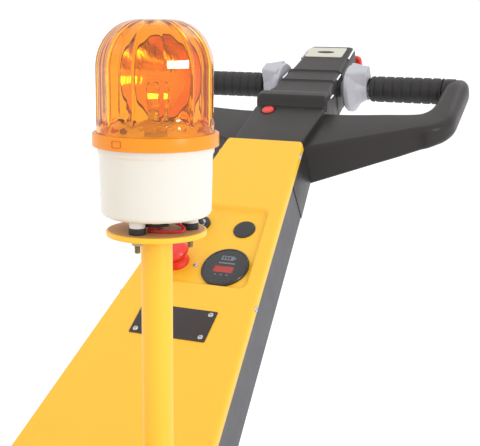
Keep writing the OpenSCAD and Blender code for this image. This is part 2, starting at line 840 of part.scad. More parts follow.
// Side outline of the head, v along it and w out of its top
module head_side() {
    rotate([90, 0, 90]) translate([0, 0, -80]) linear_extrude(160) polygon([
        [3, 0], [100, 0], [104, 8], [114, 14], [124, 11], [134, 4], [168, 2], [173, 4.5], [178, 2],
        [202, 0], [207, 2.5], [212, -1], [288, -1], [head_end_v, -10], [head_end_v, -55], [284, -64],
        [120, -66], [3, -62]
    ]);
}

module head_plan() {
    translate([0, 0, -90]) linear_extrude(120) polygon([
        [-51, 0], [51, 0], [54.5, 100], [55, 134], [46, 156], [42, 218], [38, 290], [36, 300],
        [-36, 300], [-38, 290], [-42, 218], [-46, 156], [-55, 134], [-54.5, 100]
    ]);
}

// Plan of one side of the bow round its finger gap
module bow_plan() {
    difference() {
        union() {
            polygon([[40, 2], [52, 8], [102, 36], [146, 55], [192, 74], [192, 226], [196, 226], [40, 226]]);
            translate([192, 118]) circle(r = 44);
            translate([192, 118]) square([44, 64]);
            translate([192, 182]) circle(r = 44);
        }
        polygon([[41, 103], [81, 104], [180, 115], [192, 127], [198, 140], [197, 240], [41, 240]]);
    }
}

// Depth of the bow, deep at its root and shallow at its outer corner
module bow_depth() {
    rotate([90, 0, 0]) translate([0, 0, -260]) linear_extrude(290) polygon([
        [-1, -10], [237, -10], [237, -53], [206, -53], [48, -74], [-1, -74]
    ]);
}

// The belly button's slot in the far end of the head, as depths below the head's top
belly_low = 51.5;
belly_high = 28.5;

module head_shell() {
    button_depth = head_end_v - 22;
    color(charcoal) union() {
        on_head() difference() {
            union() {
                intersection() {
                    head_side();
                    head_plan();
                }
                both() intersection() {
                    translate([0, 0, -75]) linear_extrude(75) bow_plan();
                    bow_depth();
                }
            }
            translate([0, grip_v, grip_w]) rod_x(sleeve_r + gap + 0.2, -60, 60);
            translate([0, grip_v, grip_w]) rod_x(tube_r + snug, -214, 214);
            translate([0, grip_v, grip_w]) both() rod_x(grip_r + gap, 60, 196);
            box_at(-22.5, 22.5, button_depth, head_end_v + 1, -belly_low, -belly_high);
            translate([-29, 84, -9]) cylinder(r = 9.3, h = 12);
            translate([-29, 84, -20]) cylinder(r = 3 + run_clear, h = 20);
            box_at(-15.4, 15.4, 226, 254, -70, -52);
        }
        on_head() translate([0, 240, -58]) rod_x(2 - run_clear, -17, 17);
        on_arm() arm_block(1.5, -45, 4, -arm_depth, -cover_flange);
    }
}

module head_plate() {
    color([0.8, 0.8, 0.74]) on_head() {
        box_at(-34, 27, 254, 284, -1, 0);
    }
}

module grip_tube() {
    color("silver") on_head() translate([0, grip_v, grip_w]) rod_x(tube_r, -212, 212);
}

module grips() {
    pitch = 14;
    color("black") on_head() translate([0, grip_v, grip_w]) both() difference() {
        rod_x(grip_r, 85.5, 195.5);
        rod_x(tube_r + snug, 80, 200);
        for (i = [0 : 6]) translate([95 + pitch * i, 0, 0]) rotate([0, 90, 0])
            disc_ring(grip_r + 2, grip_r - 1.4, 3);
    }
}

module throttle_knobs() {
    color("lightgray") on_head() translate([0, grip_v, grip_w]) difference() {
        union() {
            rod_x(sleeve_r, -52, 52);
            both() {
                rod_x(35, 52, 61);
                rod_x(22, 61, 74);
                rod_x(16, 74, 83);
                translate([61, -9, 0]) cube([22, 18, 34]);
            }
        }
        rod_x(tube_r + run_clear, -90, 90);
    }
}

module belly_button() {
    color("red") on_head() {
        box_at(-22, 22, head_end_v - 12, head_end_v + 7, -belly_low + 0.5, -belly_high - 0.5);
        box_at(-42, 42, head_end_v + 7, button_end_v, -55, -25);
    }
}

module horn_button() {
    color("red") on_head() translate([-29, 84, 0]) {
        translate([0, 0, -5]) cylinder(r = 9, h = 8);
        translate([0, 0, -14]) cylinder(r = 3, h = 10);
    }
}

module lift_rocker() {
    color("white") on_head() translate([0, 240, -58]) difference() {
        union() {
            rod_x(6, -15, 15);
            box_at(-15, 15, -11, 11, -10, -4);
        }
        rod_x(2, -16, 16);
    }
}

chassis_frame();
hood();
deck_cover();
bumper_skirt();
slew_ring_outer();
hydraulic_unit();
controller();
lift_cylinder();
beacon_post();
beacon_studs();
beacon_washers();
beacon_base();
beacon_lens();
beacon_bulb();
beacon_motor();
beacon_wires();
beacon_roller();
beacon_reflector();
slew_ring_inner();
gearbox();
drive_motor();
tiller_yoke();
pivot_pin();
drive_wheel_hub();
drive_tyre();
caster_fork(-1);  // caster_fork_left
caster_fork(1);  // caster_fork_right
caster_wheel(-1);  // caster_wheel_left
caster_wheel(1);  // caster_wheel_right
fork_frame();
battery();
battery_lid();
battery_connector();
rocker(-1);  // rocker_left
rocker(1);  // rocker_right
load_wheel(-1);  // load_wheel_left
load_wheel(1);  // load_wheel_right
fork_pins();
push_rod(-1);  // push_rod_left
push_rod(1);  // push_rod_right
cylinder_rod();
arm_channel();
arm_cover();
arm_screws();
name_plate();
gauge_housing();
gauge_lens();
blank_plug();
key_barrel();
ignition_key();
estop_collar();
estop_head();
head_shell();
head_plate();
grip_tube();
grips();
throttle_knobs();
belly_button();
horn_button();
lift_rocker();
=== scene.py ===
"""Electric pallet truck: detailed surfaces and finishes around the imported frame.

Lengths are millimetres in each piece's own small frame (arm, head, beacon, floor), and place() turns
them into the shared frame's metres.
"""
import json
import math

import bmesh
import bpy
import numpy as np
from mathutils import Matrix, Vector


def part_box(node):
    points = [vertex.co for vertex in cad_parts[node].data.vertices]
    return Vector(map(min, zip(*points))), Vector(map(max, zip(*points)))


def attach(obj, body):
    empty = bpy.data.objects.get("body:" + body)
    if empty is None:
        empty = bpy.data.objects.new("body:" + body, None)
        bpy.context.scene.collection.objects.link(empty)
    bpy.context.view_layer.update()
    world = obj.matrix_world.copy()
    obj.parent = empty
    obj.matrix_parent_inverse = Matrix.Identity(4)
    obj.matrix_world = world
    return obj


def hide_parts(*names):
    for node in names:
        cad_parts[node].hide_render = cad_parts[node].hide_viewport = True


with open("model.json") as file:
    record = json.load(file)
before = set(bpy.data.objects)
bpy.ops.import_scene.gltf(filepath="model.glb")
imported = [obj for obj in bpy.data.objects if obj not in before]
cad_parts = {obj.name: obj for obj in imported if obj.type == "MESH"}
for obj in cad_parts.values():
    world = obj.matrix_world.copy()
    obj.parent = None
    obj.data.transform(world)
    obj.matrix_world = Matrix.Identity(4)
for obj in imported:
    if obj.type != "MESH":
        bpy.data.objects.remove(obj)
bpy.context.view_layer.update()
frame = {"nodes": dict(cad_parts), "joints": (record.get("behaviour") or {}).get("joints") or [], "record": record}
MM = 0.001
RECORD = frame["record"]
SLOT_OF = {part["node"]: part["material_slot"] for part in RECORD["subparts"]}
BODY_OF = {node: body for body, nodes in RECORD["behaviour"]["bodies"].items() for node in nodes}
JOINTS = {joint["name"]: joint for joint in frame["joints"]}


# ---------------------------------------------------------------- frames

def joint_axis(name):
    """Unit direction of a joint, in the shared frame."""
    return np.array(JOINTS[name]["axis"], float)


def joint_place(name):
    """A point on a joint, in metres."""
    return np.array(JOINTS[name]["pos_m"], float)


def frame_of(origin, x, y, z):
    """Matrix that turns millimetres along x, y and z from origin into metres in the shared frame."""
    return np.vstack([MM * np.array([x, y, z], float), origin])


def place(points, where):
    """Points of a small frame, as metres in the shared frame: each times the matrix, plus its origin."""
    points = np.asarray(points, float)
    return points @ where[:3] + where[3]


ACROSS = np.array([1.0, 0.0, 0.0])
UPRIGHT = np.array([0.0, 0.0, 1.0])
ALONG = np.array([0.0, 1.0, 0.0])
COVER_FLANGE = 11.6

arm_normal = -joint_axis("emergency_stop_press")
arm_up = np.cross(arm_normal, ACROSS)
cover_high = np.array(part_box("arm_cover")[1])
arm_origin = np.array([0, cover_high[1] + MM * COVER_FLANGE * arm_normal[1], cover_high[2]])
ARM = frame_of(arm_origin, ACROSS, arm_up, arm_normal)

GRIP_V, GRIP_W = 208, -28
head_normal = -joint_axis("horn_press")
head_up = -joint_axis("belly_press")
head_origin = joint_place("throttle_turn") - MM * (GRIP_V * head_up + GRIP_W * head_normal)
HEAD = frame_of(head_origin, ACROSS, head_up, head_normal)
GRIP = frame_of(joint_place("throttle_turn"), head_up, head_normal, ACROSS)

beacon_axis = joint_place("beacon_spin")
beacon_plate = np.array(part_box("beacon_post")[1])[2]
BEACON = frame_of([beacon_axis[0], beacon_axis[1], beacon_plate], ACROSS, ALONG, UPRIGHT)
steer_axis = joint_place("steer")
STEER = frame_of([steer_axis[0], steer_axis[1], 0], ACROSS, ALONG, UPRIGHT)


# ---------------------------------------------------------------- outlines

def rounded(corners, closed=True, steps=6):
    """Outline through corners (a, b, fillet radius): each corner becomes an arc tangent to both of its
    sides, its tangent length held to under half of the shorter side."""
    corners = np.array(corners, float)
    count = len(corners)
    out = []
    for i, (a, b, radius) in enumerate(corners):
        here = np.array([a, b])
        if radius <= 0 or (not closed and i in (0, count - 1)):
            out.append(here[None])
            continue
        back = corners[i - 1, :2] - here
        ahead = corners[(i + 1) % count, :2] - here
        back_length, ahead_length = np.linalg.norm(back), np.linalg.norm(ahead)
        back, ahead = back / back_length, ahead / ahead_length
        half = math.acos(np.clip(back @ ahead, -1, 1)) / 2
        if abs(half - math.pi / 2) < 1e-4:
            out.append(here[None])
            continue
        reach = min(radius / math.tan(half), 0.49 * back_length, 0.49 * ahead_length)
        radius = reach * math.tan(half)
        middle = back + ahead
        middle /= np.linalg.norm(middle)
        centre = here + middle * radius / math.sin(half)
        start, end = here + back * reach - centre, here + ahead * reach - centre
        turn = math.atan2(start[0] * end[1] - start[1] * end[0], start @ end)
        angles = np.linspace(0, turn, steps + 1)
        out.append(centre + np.stack([
            start[0] * np.cos(angles) - start[1] * np.sin(angles),
            start[0] * np.sin(angles) + start[1] * np.cos(angles)], 1))
    return np.concatenate(out)


def box_outline(x0, x1, y0, y1, radius, steps=6):
    """Rectangle between two corners, its four corners rounded."""
    return rounded([(x0, y0, radius), (x1, y0, radius), (x1, y1, radius), (x0, y1, radius)], steps=steps)


def side_line(*corners, steps=6):
    """Open profile through corners (radius, height, fillet radius), from which a round part is turned."""
    return rounded(corners, closed=False, steps=steps)


def ring_line(*corners, steps=6):
    """Profile that ends where it starts, for a ring."""
    return side_line(*corners, corners[0], steps=steps)


def inset(outline, distance):
    """Closed outline moved inwards by distance along the mean normal of its two sides at each point."""
    before, after = np.roll(outline, 1, 0), np.roll(outline, -1, 0)
    one, two = outline - before, after - outline
    one = one / np.maximum(np.linalg.norm(one, axis=1, keepdims=True), 1e-9)
    two = two / np.maximum(np.linalg.norm(two, axis=1, keepdims=True), 1e-9)
    way = one + two
    way = way / np.maximum(np.linalg.norm(way, axis=1, keepdims=True), 1e-9)
    area = np.sum(outline[:, 0] * after[:, 1] - after[:, 0] * outline[:, 1])
    inward = np.stack([-way[:, 1], way[:, 0]], 1) * np.sign(area)
    stretch = 1 / np.maximum(np.sum(one * way, axis=1, keepdims=True), 0.5)
    return outline + inward * distance * stretch


def step(t):
    """Smooth step: 3 t squared minus 2 t cubed, held to 0 and 1 at the ends."""
    t = np.clip(t, 0, 1)
    return t * t * (3 - 2 * t)


def bump(t, centre, width):
    """Bell of height 1 at centre: e to the minus square of the distance over width."""
    return np.exp(-((t - centre) / width) ** 2)


def smooth_line(points, count):
    """Catmull-Rom curve through points, sampled evenly in its parameter."""
    points = np.array(points, float)
    ends = np.vstack([2 * points[0] - points[1], points, 2 * points[-1] - points[-2]])
    t = np.linspace(0, len(points) - 1 - 1e-9, count)
    i = t.astype(int)
    f = (t - i)[:, None]
    a, b, c, d = ends[i], ends[i + 1], ends[i + 2], ends[i + 3]
    square, cube = 2 * a - 5 * b + 4 * c - d, 3 * b - a - 3 * c + d
    return 0.5 * (2 * b + (c - a) * f + square * f ** 2 + cube * f ** 3)


# ---------------------------------------------------------------- surfaces as (points, faces)

def sheet_grid(points, around=False):
    """Quads of a grid of points (rows, columns, 3); around joins the last column to the first."""
    rows, columns = points.shape[:2]
    i, j = np.meshgrid(np.arange(rows - 1), np.arange(columns if around else columns - 1), indexing="ij")
    nxt = (j + 1) % columns
    quads = np.stack([i * columns + j, i * columns + nxt, (i + 1) * columns + nxt, (i + 1) * columns + j],
                     -1)
    return points.reshape(-1, 3), quads.reshape(-1, 4).tolist()


def tube_grid(rings):
    """Closed skin over rings (rows, columns, 3), with one flat face over each end ring."""
    points, faces = sheet_grid(rings, around=True)
    rows, columns = rings.shape[:2]
    faces.append(list(range(columns))[::-1])
    faces.append(list(range((rows - 1) * columns, rows * columns)))
    return points, faces


def lathe(profile, columns=64, turn=None):
    """Profile (radius, height) turned about the height axis: x is radius times cos, y is radius times sin.
    A profile that starts and ends on the axis gives a closed skin; one that ends where it starts, a ring."""
    profile = np.array(profile, float)[:, :2]
    angles = np.linspace(0, 2 * math.pi, columns, endpoint=False)
    radius = np.maximum(profile[:, :1], 1e-4)
    if turn is not None:
        radius = turn(radius, profile[:, 1:2], angles[None])
    rings = np.stack([radius * np.cos(angles), radius * np.sin(angles),
                      np.broadcast_to(profile[:, 1:2], (len(profile), columns))], -1)
    return sheet_grid(rings, around=True)


def slab(outline, low, high, edge, rings=3):
    """Plate over a closed outline from low to high, its upper rim rounded with radius edge."""
    angles = np.linspace(0, math.pi / 2, rings + 1)
    layers = [np.column_stack([outline, np.full(len(outline), low)])]
    for angle in angles:
        plan = inset(outline, edge * (1 - math.cos(angle)))
        layers.append(np.column_stack([plan, np.full(len(outline), high - edge + edge * math.sin(angle))]))
    return tube_grid(np.array(layers))


def pillow(outline, low, high, edge, rings=3):
    """Plate with both its upper and its lower rim rounded with radius edge."""
    angles = np.linspace(-math.pi / 2, math.pi / 2, 2 * rings + 1)
    layers = []
    for angle in angles:
        plan = inset(outline, edge * (1 - math.cos(angle)))
        z = (high - edge if angle > 0 else low + edge) + edge * math.sin(angle)
        layers.append(np.column_stack([plan, np.full(len(outline), z)]))
    layers.insert(rings + 1, np.column_stack([outline, np.full(len(outline), high - edge)]))
    return tube_grid(np.array(layers))


def pipe(route, radius, columns=12):
    """Tube of radius about a route: rings across its tangent, carried on two axes square to it."""
    route = np.array(route, float)
    tangent = np.gradient(route, axis=0)
    tangent /= np.linalg.norm(tangent, axis=1, keepdims=True)
    side = np.cross(tangent, [0.31, 0.17, 0.93])
    side /= np.linalg.norm(side, axis=1, keepdims=True)
    up = np.cross(tangent, side)
    angles = np.linspace(0, 2 * math.pi, columns, endpoint=False)[None, :, None]
    return tube_grid(route[:, None] + radius * (np.cos(angles) * side[:,
                                                                      None] + np.sin(angles) * up[:, None]))


def moved(part, x=0, y=0, z=0):
    """Part shifted by x, y and z."""
    return part[0] + np.array([x, y, z], float), part[1]


def turned(part, columns):
    """Part with its axes reordered: columns says which old axis each new axis takes, 1 to 3, signed."""
    points = np.stack([np.sign(c) * part[0][:, abs(c) - 1] for c in columns], 1)
    return points, part[1]


def mirrored(part, axis=0):
    """Part mirrored through the origin along one axis, its faces turned back outwards."""
    flip = np.ones(3)
    flip[axis] = -1
    return part[0] * flip, [face[::-1] for face in part[1]]


def spun(part, degrees):
    """Part turned about its own height axis."""
    c, s = math.cos(math.radians(degrees)), math.sin(math.radians(degrees))
    x, y, z = part[0].T
    return np.stack([c * x - s * y, s * x + c * y, z], 1), part[1]


# ---------------------------------------------------------------- shader groups and materials

def node(tree, kind, inputs=None, **settings):
    """Adds a shader node; each input is a value or another node's output, which is then linked."""
    made = tree.nodes.new("ShaderNode" + kind)
    for key, value in settings.items():
        setattr(made, key, value)
    for key, value in (inputs or {}).items():
        if isinstance(value, bpy.types.NodeSocket):
            tree.links.new(value, made.inputs[key])
        else:
            made.inputs[key].default_value = value
    return made


def group(name, takes, gives):
    """Empty shader group with named inputs (name, kind, default) and outputs (name, kind)."""
    tree = bpy.data.node_groups.new(name, "ShaderNodeTree")
    for label, kind, default in takes:
        socket = tree.interface.new_socket(label, in_out="INPUT", socket_type="NodeSocket" + kind)
        socket.default_value = default
    for label, kind in gives:
        tree.interface.new_socket(label, in_out="OUTPUT", socket_type="NodeSocket" + kind)
    return tree, tree.nodes.new("NodeGroupInput").outputs, tree.nodes.new("NodeGroupOutput").inputs


def math_node(tree, operation, a, b=0.0, clamp=False):
    """Output of one Math node: a, operation, b."""
    return node(tree, "Math", {0: a, 1: b}, operation=operation, use_clamp=clamp).outputs[0]


def build_grain_group():
    """Fine surface grain: two noises in object space, one for height and one fifty times larger for tone."""
    tree, takes, gives = group("surface_grain", [
        ("Scale", "Float", 900.0), ("Depth", "Float", 1.0), ("Stretch", "Vector", (1, 1, 1))],
        [("Height", "Float"), ("Tone", "Float")])
    place_node = node(tree, "TexCoord").outputs["Object"]
    stretched = node(tree, "VectorMath", {0: place_node, 1: takes["Stretch"]},
                     operation="MULTIPLY").outputs[0]
    fine = node(tree, "TexNoise",
                {"Vector": stretched, "Scale": takes["Scale"], "Detail": 3.0}).outputs["Fac"]
    broad_scale = math_node(tree, "MULTIPLY", takes["Scale"], 0.02)
    broad = node(tree, "TexNoise",
                 {"Vector": place_node, "Scale": broad_scale, "Detail": 4.0}).outputs["Fac"]
    tree.links.new(math_node(tree, "MULTIPLY", fine, takes["Depth"]), gives["Height"])
    tree.links.new(broad, gives["Tone"])
    return tree


def build_wear_group():
    """Worn edges: the convexity of the surface, sharpened, and broken up by a noise."""
    tree, takes, gives = group("edge_wear", [("Amount", "Float", 0.5), ("Break", "Float", 60.0)],
                               [("Mask", "Float")])
    convex = node(tree, "NewGeometry").outputs["Pointiness"]
    place_node = node(tree, "TexCoord").outputs["Object"]
    patchy = node(tree, "TexNoise",
                  {"Vector": place_node, "Scale": takes["Break"], "Detail": 5.0}).outputs["Fac"]
    edge = math_node(tree, "MULTIPLY", math_node(tree, "SUBTRACT", convex, 0.53), 9.0, clamp=True)
    broken = math_node(tree, "MULTIPLY", math_node(tree, "SUBTRACT", patchy, 0.45), 6.0, clamp=True)
    worn = math_node(tree, "MULTIPLY", edge, broken)
    tree.links.new(math_node(tree, "MULTIPLY", worn, takes["Amount"], clamp=True), gives["Mask"])
    return tree


def build_dust_group():
    """Dust on faces that look up: the surface normal's height, times a soft noise."""
    tree, takes, gives = group("settled_dust", [("Amount", "Float", 0.2), ("Scale", "Float", 14.0)],
                               [("Mask", "Float")])
    normal = node(tree, "NewGeometry").outputs["Normal"]
    up = node(tree, "SeparateXYZ", {0: normal}).outputs["Z"]
    place_node = node(tree, "TexCoord").outputs["Object"]
    cloud = node(tree, "TexNoise",
                 {"Vector": place_node, "Scale": takes["Scale"], "Detail": 6.0}).outputs["Fac"]
    settled = math_node(tree, "MULTIPLY",
                        math_node(tree, "POWER", math_node(tree, "MAXIMUM", up, 0.0), 2.0), cloud)
    tree.links.new(math_node(tree, "MULTIPLY", settled, takes["Amount"], clamp=True), gives["Mask"])
    return tree


GRAIN, WEAR, DUST = build_grain_group(), build_wear_group(), build_dust_group()


def put_group(tree, which, **values):
    """Places a shared group in a material with its own values, and gives its outputs."""
    made = tree.nodes.new("ShaderNodeGroup")
    made.node_tree = which
    for key, value in values.items():
        made.inputs[key.capitalize()].default_value = value
    return made.outputs


def mix_colour(tree, factor, one, two):
    """Blend of two colours: one where factor is 0, two where it is 1."""
    made = tree.nodes.new("ShaderNodeMix")
    made.data_type = "RGBA"
    for socket, value in ((made.inputs[0], factor), (made.inputs[6], one), (made.inputs[7], two)):
        if isinstance(value, bpy.types.NodeSocket):
            tree.links.new(value, socket)
        else:
            socket.default_value = value
    return made.outputs[2]


def rgb(r, g, b):
    """Display colour, 0 to 255, as linear light."""
    linear = [((c / 255 + 0.055) / 1.055) ** 2.4 if c > 10 else c / 255 / 12.92 for c in (r, g, b)]
    return (*linear, 1.0)


def new_material(name):
    """Empty material with its node tree and its Principled BSDF."""
    material = bpy.data.materials.new(name)
    material.use_nodes = True
    return material, material.node_tree, material.node_tree.nodes["Principled BSDF"]


def set_sockets(principled, values):
    """Plain values on the shader's own sockets, underscores standing for the blanks in their names."""
    for key, value in values.items():
        principled.inputs[key.replace("_", " ")].default_value = value


def finish(name, colour, rough, grain=(900, 0.3), tone=0.06, metallic=0.0, wear=0.0, bare=(150, 150, 152),
           dust=0.0, stretch=(1, 1, 1), depth=0.0002, **shader):
    """Opaque material: base colour with broad tone changes, worn edges and dust, and a grained bump.
    tone is how far the colour moves, wear and dust are how strong each is, and shader sets plain sockets."""
    material, tree, principled = new_material(name)
    grained = put_group(tree, GRAIN, scale=float(grain[0]), depth=1.0, stretch=stretch)
    base = rgb(*colour)
    darker = tuple(c * (1 - 2 * tone) for c in base[:3]) + (1.0,)
    lighter = tuple(min(c * (1 + tone), 1) for c in base[:3]) + (1.0,)
    out = mix_colour(tree, grained["Tone"], darker, lighter)
    shine = math_node(tree, "ADD", math_node(tree, "MULTIPLY", grained["Tone"], 0.16), rough - 0.08)
    if wear:
        worn = put_group(tree, WEAR, amount=wear)["Mask"]
        out = mix_colour(tree, worn, out, rgb(*bare))
        tree.links.new(math_node(tree, "MAXIMUM", worn, metallic), principled.inputs["Metallic"])
    else:
        principled.inputs["Metallic"].default_value = metallic
    if dust:
        dusty = put_group(tree, DUST, amount=dust)["Mask"]
        out = mix_colour(tree, dusty, out, rgb(176, 170, 160))
        shine = math_node(tree, "ADD", shine, math_node(tree, "MULTIPLY", dusty, 0.5), clamp=True)
    tree.links.new(out, principled.inputs["Base Color"])
    tree.links.new(shine, principled.inputs["Roughness"])
    bumped = node(tree, "Bump", {"Height": grained["Height"], "Strength": grain[1], "Distance": depth})
    tree.links.new(bumped.outputs[0], principled.inputs["Normal"])
    set_sockets(principled, shader)
    return material


def clear(name, colour, rough, ior=1.49, grain=(60, 0.1), **shader):
    """Clear moulded plastic or glass: tinted by its colour, with faint flow waves in its surface."""
    material, tree, principled = new_material(name)
    waves = put_group(tree, GRAIN, scale=float(grain[0]), depth=1.0)
    bumped = node(tree, "Bump", {"Height": waves["Height"], "Strength": grain[1], "Distance": 0.0003})
    tree.links.new(bumped.outputs[0], principled.inputs["Normal"])
    base = rgb(*colour)
    tint = mix_colour(tree, waves["Tone"], tuple(c * 0.94 for c in base[:3]) + (1.0,), base)
    tree.links.new(tint, principled.inputs["Base Color"])
    set_sockets(principled, {"Transmission_Weight": 1.0, "Roughness": rough, "IOR": ior, **shader})
    return material


YELLOW = (250, 193, 42)
FINISHES = {
    "yellow_paint": finish("yellow_powder_coat", YELLOW, 0.42, (1400, 0.25), 0.02, wear=0.15, dust=0.02,
                           bare=(200, 190, 170), Coat_Weight=0.15, Coat_Roughness=0.3),
    "charcoal_paint": finish("charcoal_powder_coat", (66, 64, 65), 0.5, (1400, 0.35), 0.05, wear=0.25,
                             dust=0.08),
    "black_paint": finish("black_satin_paint", (30, 30, 32), 0.38, (1200, 0.25), 0.08, wear=0.25, dust=0.12),
    "bearing_steel": finish("machined_steel", (150, 151, 155), 0.3, (700, 0.3), 0.1, metallic=1.0,
                            stretch=(1, 1, 14)),
    "finned_aluminium": finish("anodised_aluminium", (178, 180, 184), 0.36, (1100, 0.3), 0.06, metallic=0.95,
                               stretch=(8, 1, 1)),
    "zinc": finish("zinc_plate", (205, 205, 204), 0.26, (1500, 0.3), 0.1, metallic=1.0, wear=0.3),
    "black_rubber": finish("black_rubber", (40, 38, 38), 0.62, (2200, 0.5), 0.12, dust=0.12),
    "ivory_plastic": finish("ivory_moulding", (224, 221, 213), 0.28, (500, 0.1), 0.02, Coat_Weight=0.3,
                            Coat_Roughness=0.12, Subsurface_Weight=0.12, Subsurface_Scale=0.003),
    # The amber lens's orange emission is a painted glow: light painted into the dome to brighten it.
    "amber_lens": clear("amber_moulding", (255, 200, 62), 0.03, grain=(22, 0.03),
                        Emission_Color=rgb(255, 96, 4), Emission_Strength=0.045),
    "clear_glass": clear("clear_glass", (250, 250, 250), 0.02, ior=1.45),
    "wire_insulation": finish("red_wire", (214, 40, 52), 0.4, (900, 0.2), 0.08),
    "reflector": finish("metallised_reflector", (248, 206, 104), 0.12, (300, 0.25), 0.05, metallic=1.0),
    "cast_housing": finish("cast_housing", (92, 92, 95), 0.55, (420, 0.8), 0.12, wear=0.5, dust=0.3,
                           depth=0.0006),
    "drive_tread": finish("polyurethane_tread", (168, 70, 34), 0.5, (300, 0.4), 0.12, dust=0.35),
    "caster_rubber": finish("caster_rubber", (58, 58, 60), 0.6, (1800, 0.5), 0.15, dust=0.35),
    "battery_case": finish("battery_case", (54, 62, 80), 0.48, (900, 0.4), 0.1, dust=0.3),
    "red_plastic": finish("red_moulding", (232, 48, 38), 0.26, (700, 0.12), 0.04, Coat_Weight=0.35,
                          Coat_Roughness=0.1),
    "chrome_rod": finish("ground_chrome", (215, 216, 220), 0.1, (1500, 0.15), 0.04, metallic=1.0),
    "arm_grey": finish("grey_powder_coat", (74, 74, 80), 0.46, (1400, 0.3), 0.04, wear=0.12, dust=0.02),
    "plate_brown": finish("dark_plate", (50, 41, 40), 0.34, (1200, 0.2), 0.06, wear=0.25),
    "black_plastic": finish("black_moulding", (38, 36, 37), 0.3, (900, 0.15), 0.08, Coat_Weight=0.2,
                            Coat_Roughness=0.15),
    "head_plastic": finish("grained_head_moulding", (47, 43, 43), 0.36, (1700, 0.35), 0.05, wear=0.25,
                           bare=(110, 108, 108), dust=0.04, Specular_IOR_Level=0.32),
    "label_silver": finish("pale_label", (214, 212, 196), 0.35, (700, 0.15), 0.03, metallic=0.2),
    "knob_grey": finish("grey_moulding", (190, 190, 198), 0.42, (1600, 0.25), 0.04),
    "white_plastic": finish("white_moulding", (226, 226, 224), 0.34, (900, 0.15), 0.03),
}
EXTRA = {"reflector_back": finish("reflector_back", (52, 30, 16), 0.4, (900, 0.2), 0.1),
         "amber_collar": clear("amber_collar", (255, 156, 2), 0.3, Transmission_Weight=0.15),
         "amber_mark": clear("amber_mark", (236, 100, 12), 0.3, Transmission_Weight=0.1),
         # The cup tray's warm emission is painted light: it brightens the dome's base seen through the amber.
         "tray_painted_glow": finish("tray_painted_glow", (238, 228, 206), 0.4, (700, 0.1), 0.02, Emission_Strength=0.3,
                            Emission_Color=rgb(255, 214, 150)),
         "black_wire": finish("black_wire", (34, 32, 33), 0.42, (900, 0.2), 0.1),
         "gauge_face": finish("gauge_face", (34, 34, 40), 0.2, (800, 0.08), 0.05),
         "gauge_ink": finish("gauge_ink", (165, 172, 184), 0.4, (900, 0.1), 0.03),
         "gauge_window": finish("gauge_window", (190, 52, 40), 0.25, (600, 0.1), 0.06,
                                Emission_Strength=0.25, Emission_Color=rgb(225, 60, 44)),
         # Tan colour for the top face of the beacon's plate, darker than its yellow edge.
         "tan_plate_top": finish("tan_plate_top", (205, 150, 92), 0.55, (700, 0.3), 0.06, dust=0.1),
         "filament": finish("hot_filament", (255, 220, 150), 0.5, (900, 0.1), 0.02, Emission_Strength=6.0,
                            Emission_Color=rgb(255, 210, 120)),
         # Near-black for the ring round the horn button: painted shade of the recess round it.
         "painted_recess_shade": finish("painted_recess_shade", (18, 18, 19), 0.6, (900, 0.2), 0.1),
         "yellow_zinc": finish("yellow_zinc", (178, 166, 134), 0.35, (1500, 0.3), 0.12, metallic=0.9),
         # Bright metal for strips laid where highlight lines show on the head: painted highlight.
         "highlight_metal": finish("highlight_strip_metal", (225, 226, 230), 0.2, (1500, 0.2), 0.05, metallic=0.9)}


# ---------------------------------------------------------------- pieces

EDGE_ANGLE = 38
WALL = 3.6
SHEET = 2.0


def add_object(name, data):
    """New object in the scene, at the origin."""
    made = bpy.data.objects.new(name, data)
    bpy.context.scene.collection.objects.link(made)
    return made


def thickened(piece, thickness):
    """Gives a sheet its wall, laid inwards from the modelled skin, in millimetres."""
    wall = piece.modifiers.new("wall", "SOLIDIFY")
    wall.thickness = thickness * MM
    wall.offset = -1


def make_piece(name, parts, body, slot, where, materials=None, replaces=(), sharp=EDGE_ANGLE):
    """One object from several surfaces. parts holds surfaces, or (surface, index of its material)."""
    verts, faces, indexes = [], [], []
    start = 0
    for entry in parts:
        (points, quads), index = entry if isinstance(entry[1], int) else (entry, 0)
        verts.append(place(points, where))
        faces += [[start + k for k in face] for face in quads]
        indexes += [index] * len(quads)
        start += len(points)
    mesh = bpy.data.meshes.new(name)
    mesh.from_pydata(np.concatenate(verts).tolist(), [], faces)
    for material in materials or [FINISHES[slot]]:
        mesh.materials.append(material)
    mesh.polygons.foreach_set("material_index", np.array(indexes, np.int32))
    return seat(name, mesh, body, replaces, sharp)


def remake(node_name, name, parts, where, materials=None, sharp=EDGE_ANGLE):
    """Piece that stands in for one CAD node, on that node's body and with its material slot."""
    return make_piece(name, parts, BODY_OF[node_name], SLOT_OF[node_name], where, materials, [node_name],
                      sharp)


def seat(name, mesh, body, replaces, sharp):
    """Cleans a mesh, turns its faces outwards, shades it smooth up to the sharp angle and sets its body."""
    work = bmesh.new()
    work.from_mesh(mesh)
    bmesh.ops.remove_doubles(work, verts=work.verts, dist=2e-6)
    bmesh.ops.dissolve_degenerate(work, edges=work.edges, dist=1e-7)
    bmesh.ops.recalc_face_normals(work, faces=work.faces)
    work.to_mesh(mesh)
    work.free()
    mesh.shade_smooth()
    mesh.set_sharp_from_angle(angle=math.radians(sharp))
    piece = add_object(name, mesh)
    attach(piece, body)
    if replaces:
        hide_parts(*replaces)
    return piece


